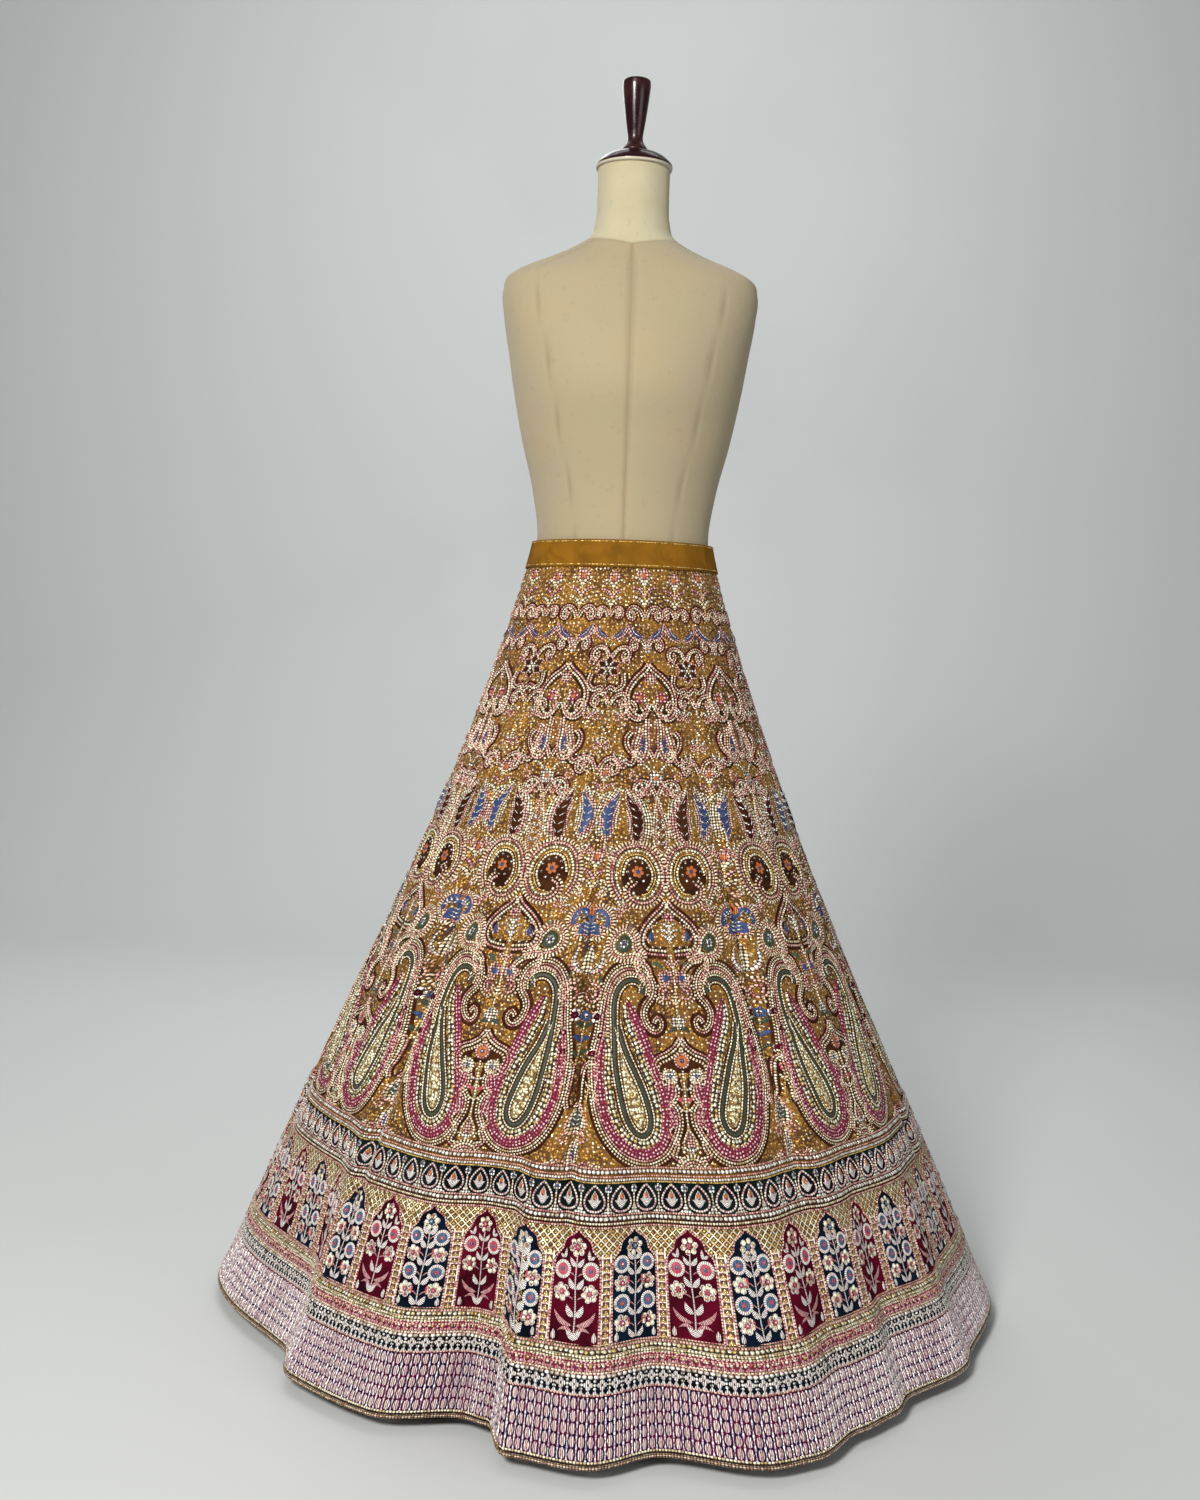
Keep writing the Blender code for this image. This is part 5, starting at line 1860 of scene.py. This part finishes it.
class LEHENGA_OT_form(bpy.types.Operator):
    """Make the canvas dress form, its lacquered cap and handle, and finish its stand"""
    bl_idname = "lehenga.form"
    bl_label = "Dress form"

    def execute(self, context):
        # Rows lie closer together where the shoulders turn in to the neck.
        heights = np.concatenate(
            (np.linspace(0.765, 1.33, 64), np.linspace(1.335, 1.46, 56), np.linspace(1.465, BODY[-1][0], 18))
        )
        rings = body_rings(heights)
        turn = np.linspace(0, 2 * np.pi, 161)
        sine, cosine = (np.sin(turn), np.cos(turn))
        power = 2 / rings[:, 3:]
        depth = np.where(cosine > 0, rings[:, 1:2], rings[:, 2:3])
        wide = rings[:, :1] * np.sign(sine) * np.abs(sine) ** power
        deep = -depth * np.sign(cosine) * np.abs(cosine) ** power
        level = np.repeat(heights[:, None], len(turn), 1)
        seam = self.seams(np.degrees(turn)[None], level, wide)
        pinch = 1 - FORM_SEAM_DIP / np.hypot(wide, deep) * seam
        rings = np.stack((wide * pinch, deep * pinch, level), -1)
        points, triangles = ended(rings, grid_triangles(*level.shape)[:, ::-1], closed=False)
        uv = np.stack((np.broadcast_to(turn * 0.14, level.shape), level), -1).reshape(-1, 2)
        uv = np.concatenate((uv, points[-2:, 1:]))
        body = new_mesh_object("form_canvas", points, triangles, uv, [MATERIALS["canvas"]])
        mark = body.data.attributes.new("seam", "FLOAT", "POINT")
        mark.data.foreach_set("value", np.append(seam.ravel(), (0, 0)).astype(np.float32))
        stand_for(body, "form_body")
        low, top = (end[2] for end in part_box("neck_cap"))
        # Profiles as rows of radius and height.
        lathe("lacquered_cap", "neck_cap", (
            (0.0523, 0), (0.0529, 0.002), (0.0527, 0.0048), (0.0508, 0.008), (0.0435, 0.0148), (0.032, 0.0208),
            (0.018, top - low),
        ))
        lathe("turned_handle", "neck_handle", (
            (0.0177, 0), (0.0174, 0.003), (0.015, 0.007), (0.0118, 0.012), (0.0106, 0.018), (0.0112, 0.025),
            (0.0126, 0.034), (0.0144, 0.046), (0.016, 0.058), (0.0177, 0.072), (0.0192, 0.086), (0.0193, 0.093),
            (0.018, 0.098), (0.01, 0.1),
        ))
        for name in ("stand_hub", "stand_pole", "stand_base"):
            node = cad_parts[name]
            for slot in range(max(1, len(node.material_slots))):
                if not node.material_slots:
                    node.data.materials.append(None)
                node.material_slots[slot].material = MATERIALS["iron"]
        return {"FINISHED"}

    @staticmethod
    def seams(turn, level, wide):
        """Where the cover is seamed: front and back centre lines, curved side panels that bow out from 34
        degrees off them at the waist, and the neck's ring, which rises with the distance wide from the middle."""
        turn = np.broadcast_to(turn, level.shape)
        ring = NECK_SEAM + NECK_SEAM_RISE * np.abs(wide)
        bow = 34 + 10 * np.clip((level - 1.03) / 0.36, 0, 1.3)
        total = np.zeros(level.shape)
        for line in (np.zeros_like(bow), np.full_like(bow, 180.0), bow, -bow, 180 - bow, 180 + bow):
            away = (turn - line + 180) % 360 - 180
            total += np.exp(-(away / 0.7) ** 2) * (level < ring)
        return np.clip(total + np.exp(-((level - ring) / 0.0014) ** 2), 0, 1)


class LEHENGA_OT_stage(bpy.types.Operator):
    """Set the plain floor, the soft lights and the camera"""
    bl_idname = "lehenga.stage"
    bl_label = "Stage"

    def execute(self, context):
        scene = context.scene
        bend = np.radians(np.linspace(0, 90, 13))
        back = np.concatenate(([-6.0], 2.6 + 1.6 * np.sin(bend), [4.2]))
        rise = np.concatenate(([0.0], 1.6 - 1.6 * np.cos(bend), [7.0]))
        across = np.linspace(-9, 9, 7)
        points = np.stack(np.broadcast_arrays(across[None, :], back[:, None], rise[:, None]), -1).reshape(-1, 3)
        mesh = bpy.data.meshes.new("floor")
        mesh.from_pydata(points.tolist(), [], grid_triangles(len(back), len(across))[:, ::-1].tolist())
        mesh.shade_smooth()
        mesh.materials.append(MATERIALS["paint"])
        floor = bpy.data.objects.new("floor", mesh)
        scene.collection.objects.link(floor)
        world = bpy.data.worlds.new("Studio")
        world.use_nodes = True
        world.node_tree.nodes["Background"].inputs["Color"].default_value = (0.86, 0.89, 0.9, 1)
        world.node_tree.nodes["Background"].inputs["Strength"].default_value = 0.2
        scene.world = world
        # Area lights: metres across, then watts.
        for name, place, aim, size, power, tint in (
            ("key", (-1.2, -3.1, 2.4), (0, 0, 0.6), 0.8, 160, (1.0, 0.98, 0.95)),
            ("fill", (2.7, -2.4, 1.3), (0, 0, 0.7), 1.8, 26, (0.96, 0.98, 1.0)),
            ("rear", (-1.0, 2.4, 3.0), (0, 0, 0.8), 1.6, 22, (1.0, 1.0, 1.0)),
            ("backdrop", (0.0, 1.2, 3.6), (0, 4.2, 1.4), 3.0, 70, (0.97, 1.0, 0.99)),
        ):
            light = bpy.data.lights.new(name, "AREA")
            light.size, light.energy, light.color = (size, power, tint)
            lamp = bpy.data.objects.new(name, light)
            lamp.location = place
            lamp.rotation_euler = (Vector(aim) - Vector(place)).to_track_quat("-Z", "Y").to_euler()
            scene.collection.objects.link(lamp)
        lens = bpy.data.cameras.new("camera")
        lens.lens, lens.sensor_width, lens.shift_y = (40.0, 36.0, -0.06)
        camera = bpy.data.objects.new("camera", lens)
        camera.location = (-0.026, -2.3, 0.87)
        camera.rotation_euler = (math.radians(90), math.radians(-1.8), 0)
        scene.collection.objects.link(camera)
        scene.camera = camera
        scene.view_settings.view_transform = "Standard"
        return {"FINISHED"}


OPERATORS = (LEHENGA_OT_form, LEHENGA_OT_waistband, LEHENGA_OT_panels, LEHENGA_OT_borders, LEHENGA_OT_stage)


class LEHENGA_PT_make(bpy.types.Panel):
    """Sizes, colours and the pieces to make"""
    bl_label = "Lehenga skirt"
    bl_idname = "LEHENGA_PT_make"
    bl_space_type = "VIEW_3D"
    bl_region_type = "UI"
    bl_category = "Lehenga"

    def draw(self, context):
        for settings in (context.scene.lehenga_sizes, context.scene.lehenga_colours):
            for name in settings.__annotations__:
                self.layout.prop(settings, name)
        for operator in OPERATORS:
            self.layout.operator(operator.bl_idname)


CLASSES = (LehengaSizes, LehengaColours, *OPERATORS, LEHENGA_PT_make)


def register():
    for cls in CLASSES:
        bpy.utils.register_class(cls)
    bpy.types.Scene.lehenga_sizes = bpy.props.PointerProperty(type=LehengaSizes)
    bpy.types.Scene.lehenga_colours = bpy.props.PointerProperty(type=LehengaColours)


def unregister():
    del bpy.types.Scene.lehenga_colours
    del bpy.types.Scene.lehenga_sizes
    for cls in reversed(CLASSES):
        bpy.utils.unregister_class(cls)


def main():
    """Makes the whole scene."""
    register()
    MATERIALS.update(make_materials())
    bpy.ops.lehenga.form()
    bpy.ops.lehenga.waistband()
    bpy.ops.lehenga.panels()
    bpy.ops.lehenga.borders()
    bpy.ops.lehenga.stage()


if __name__ == "__main__":
    main()
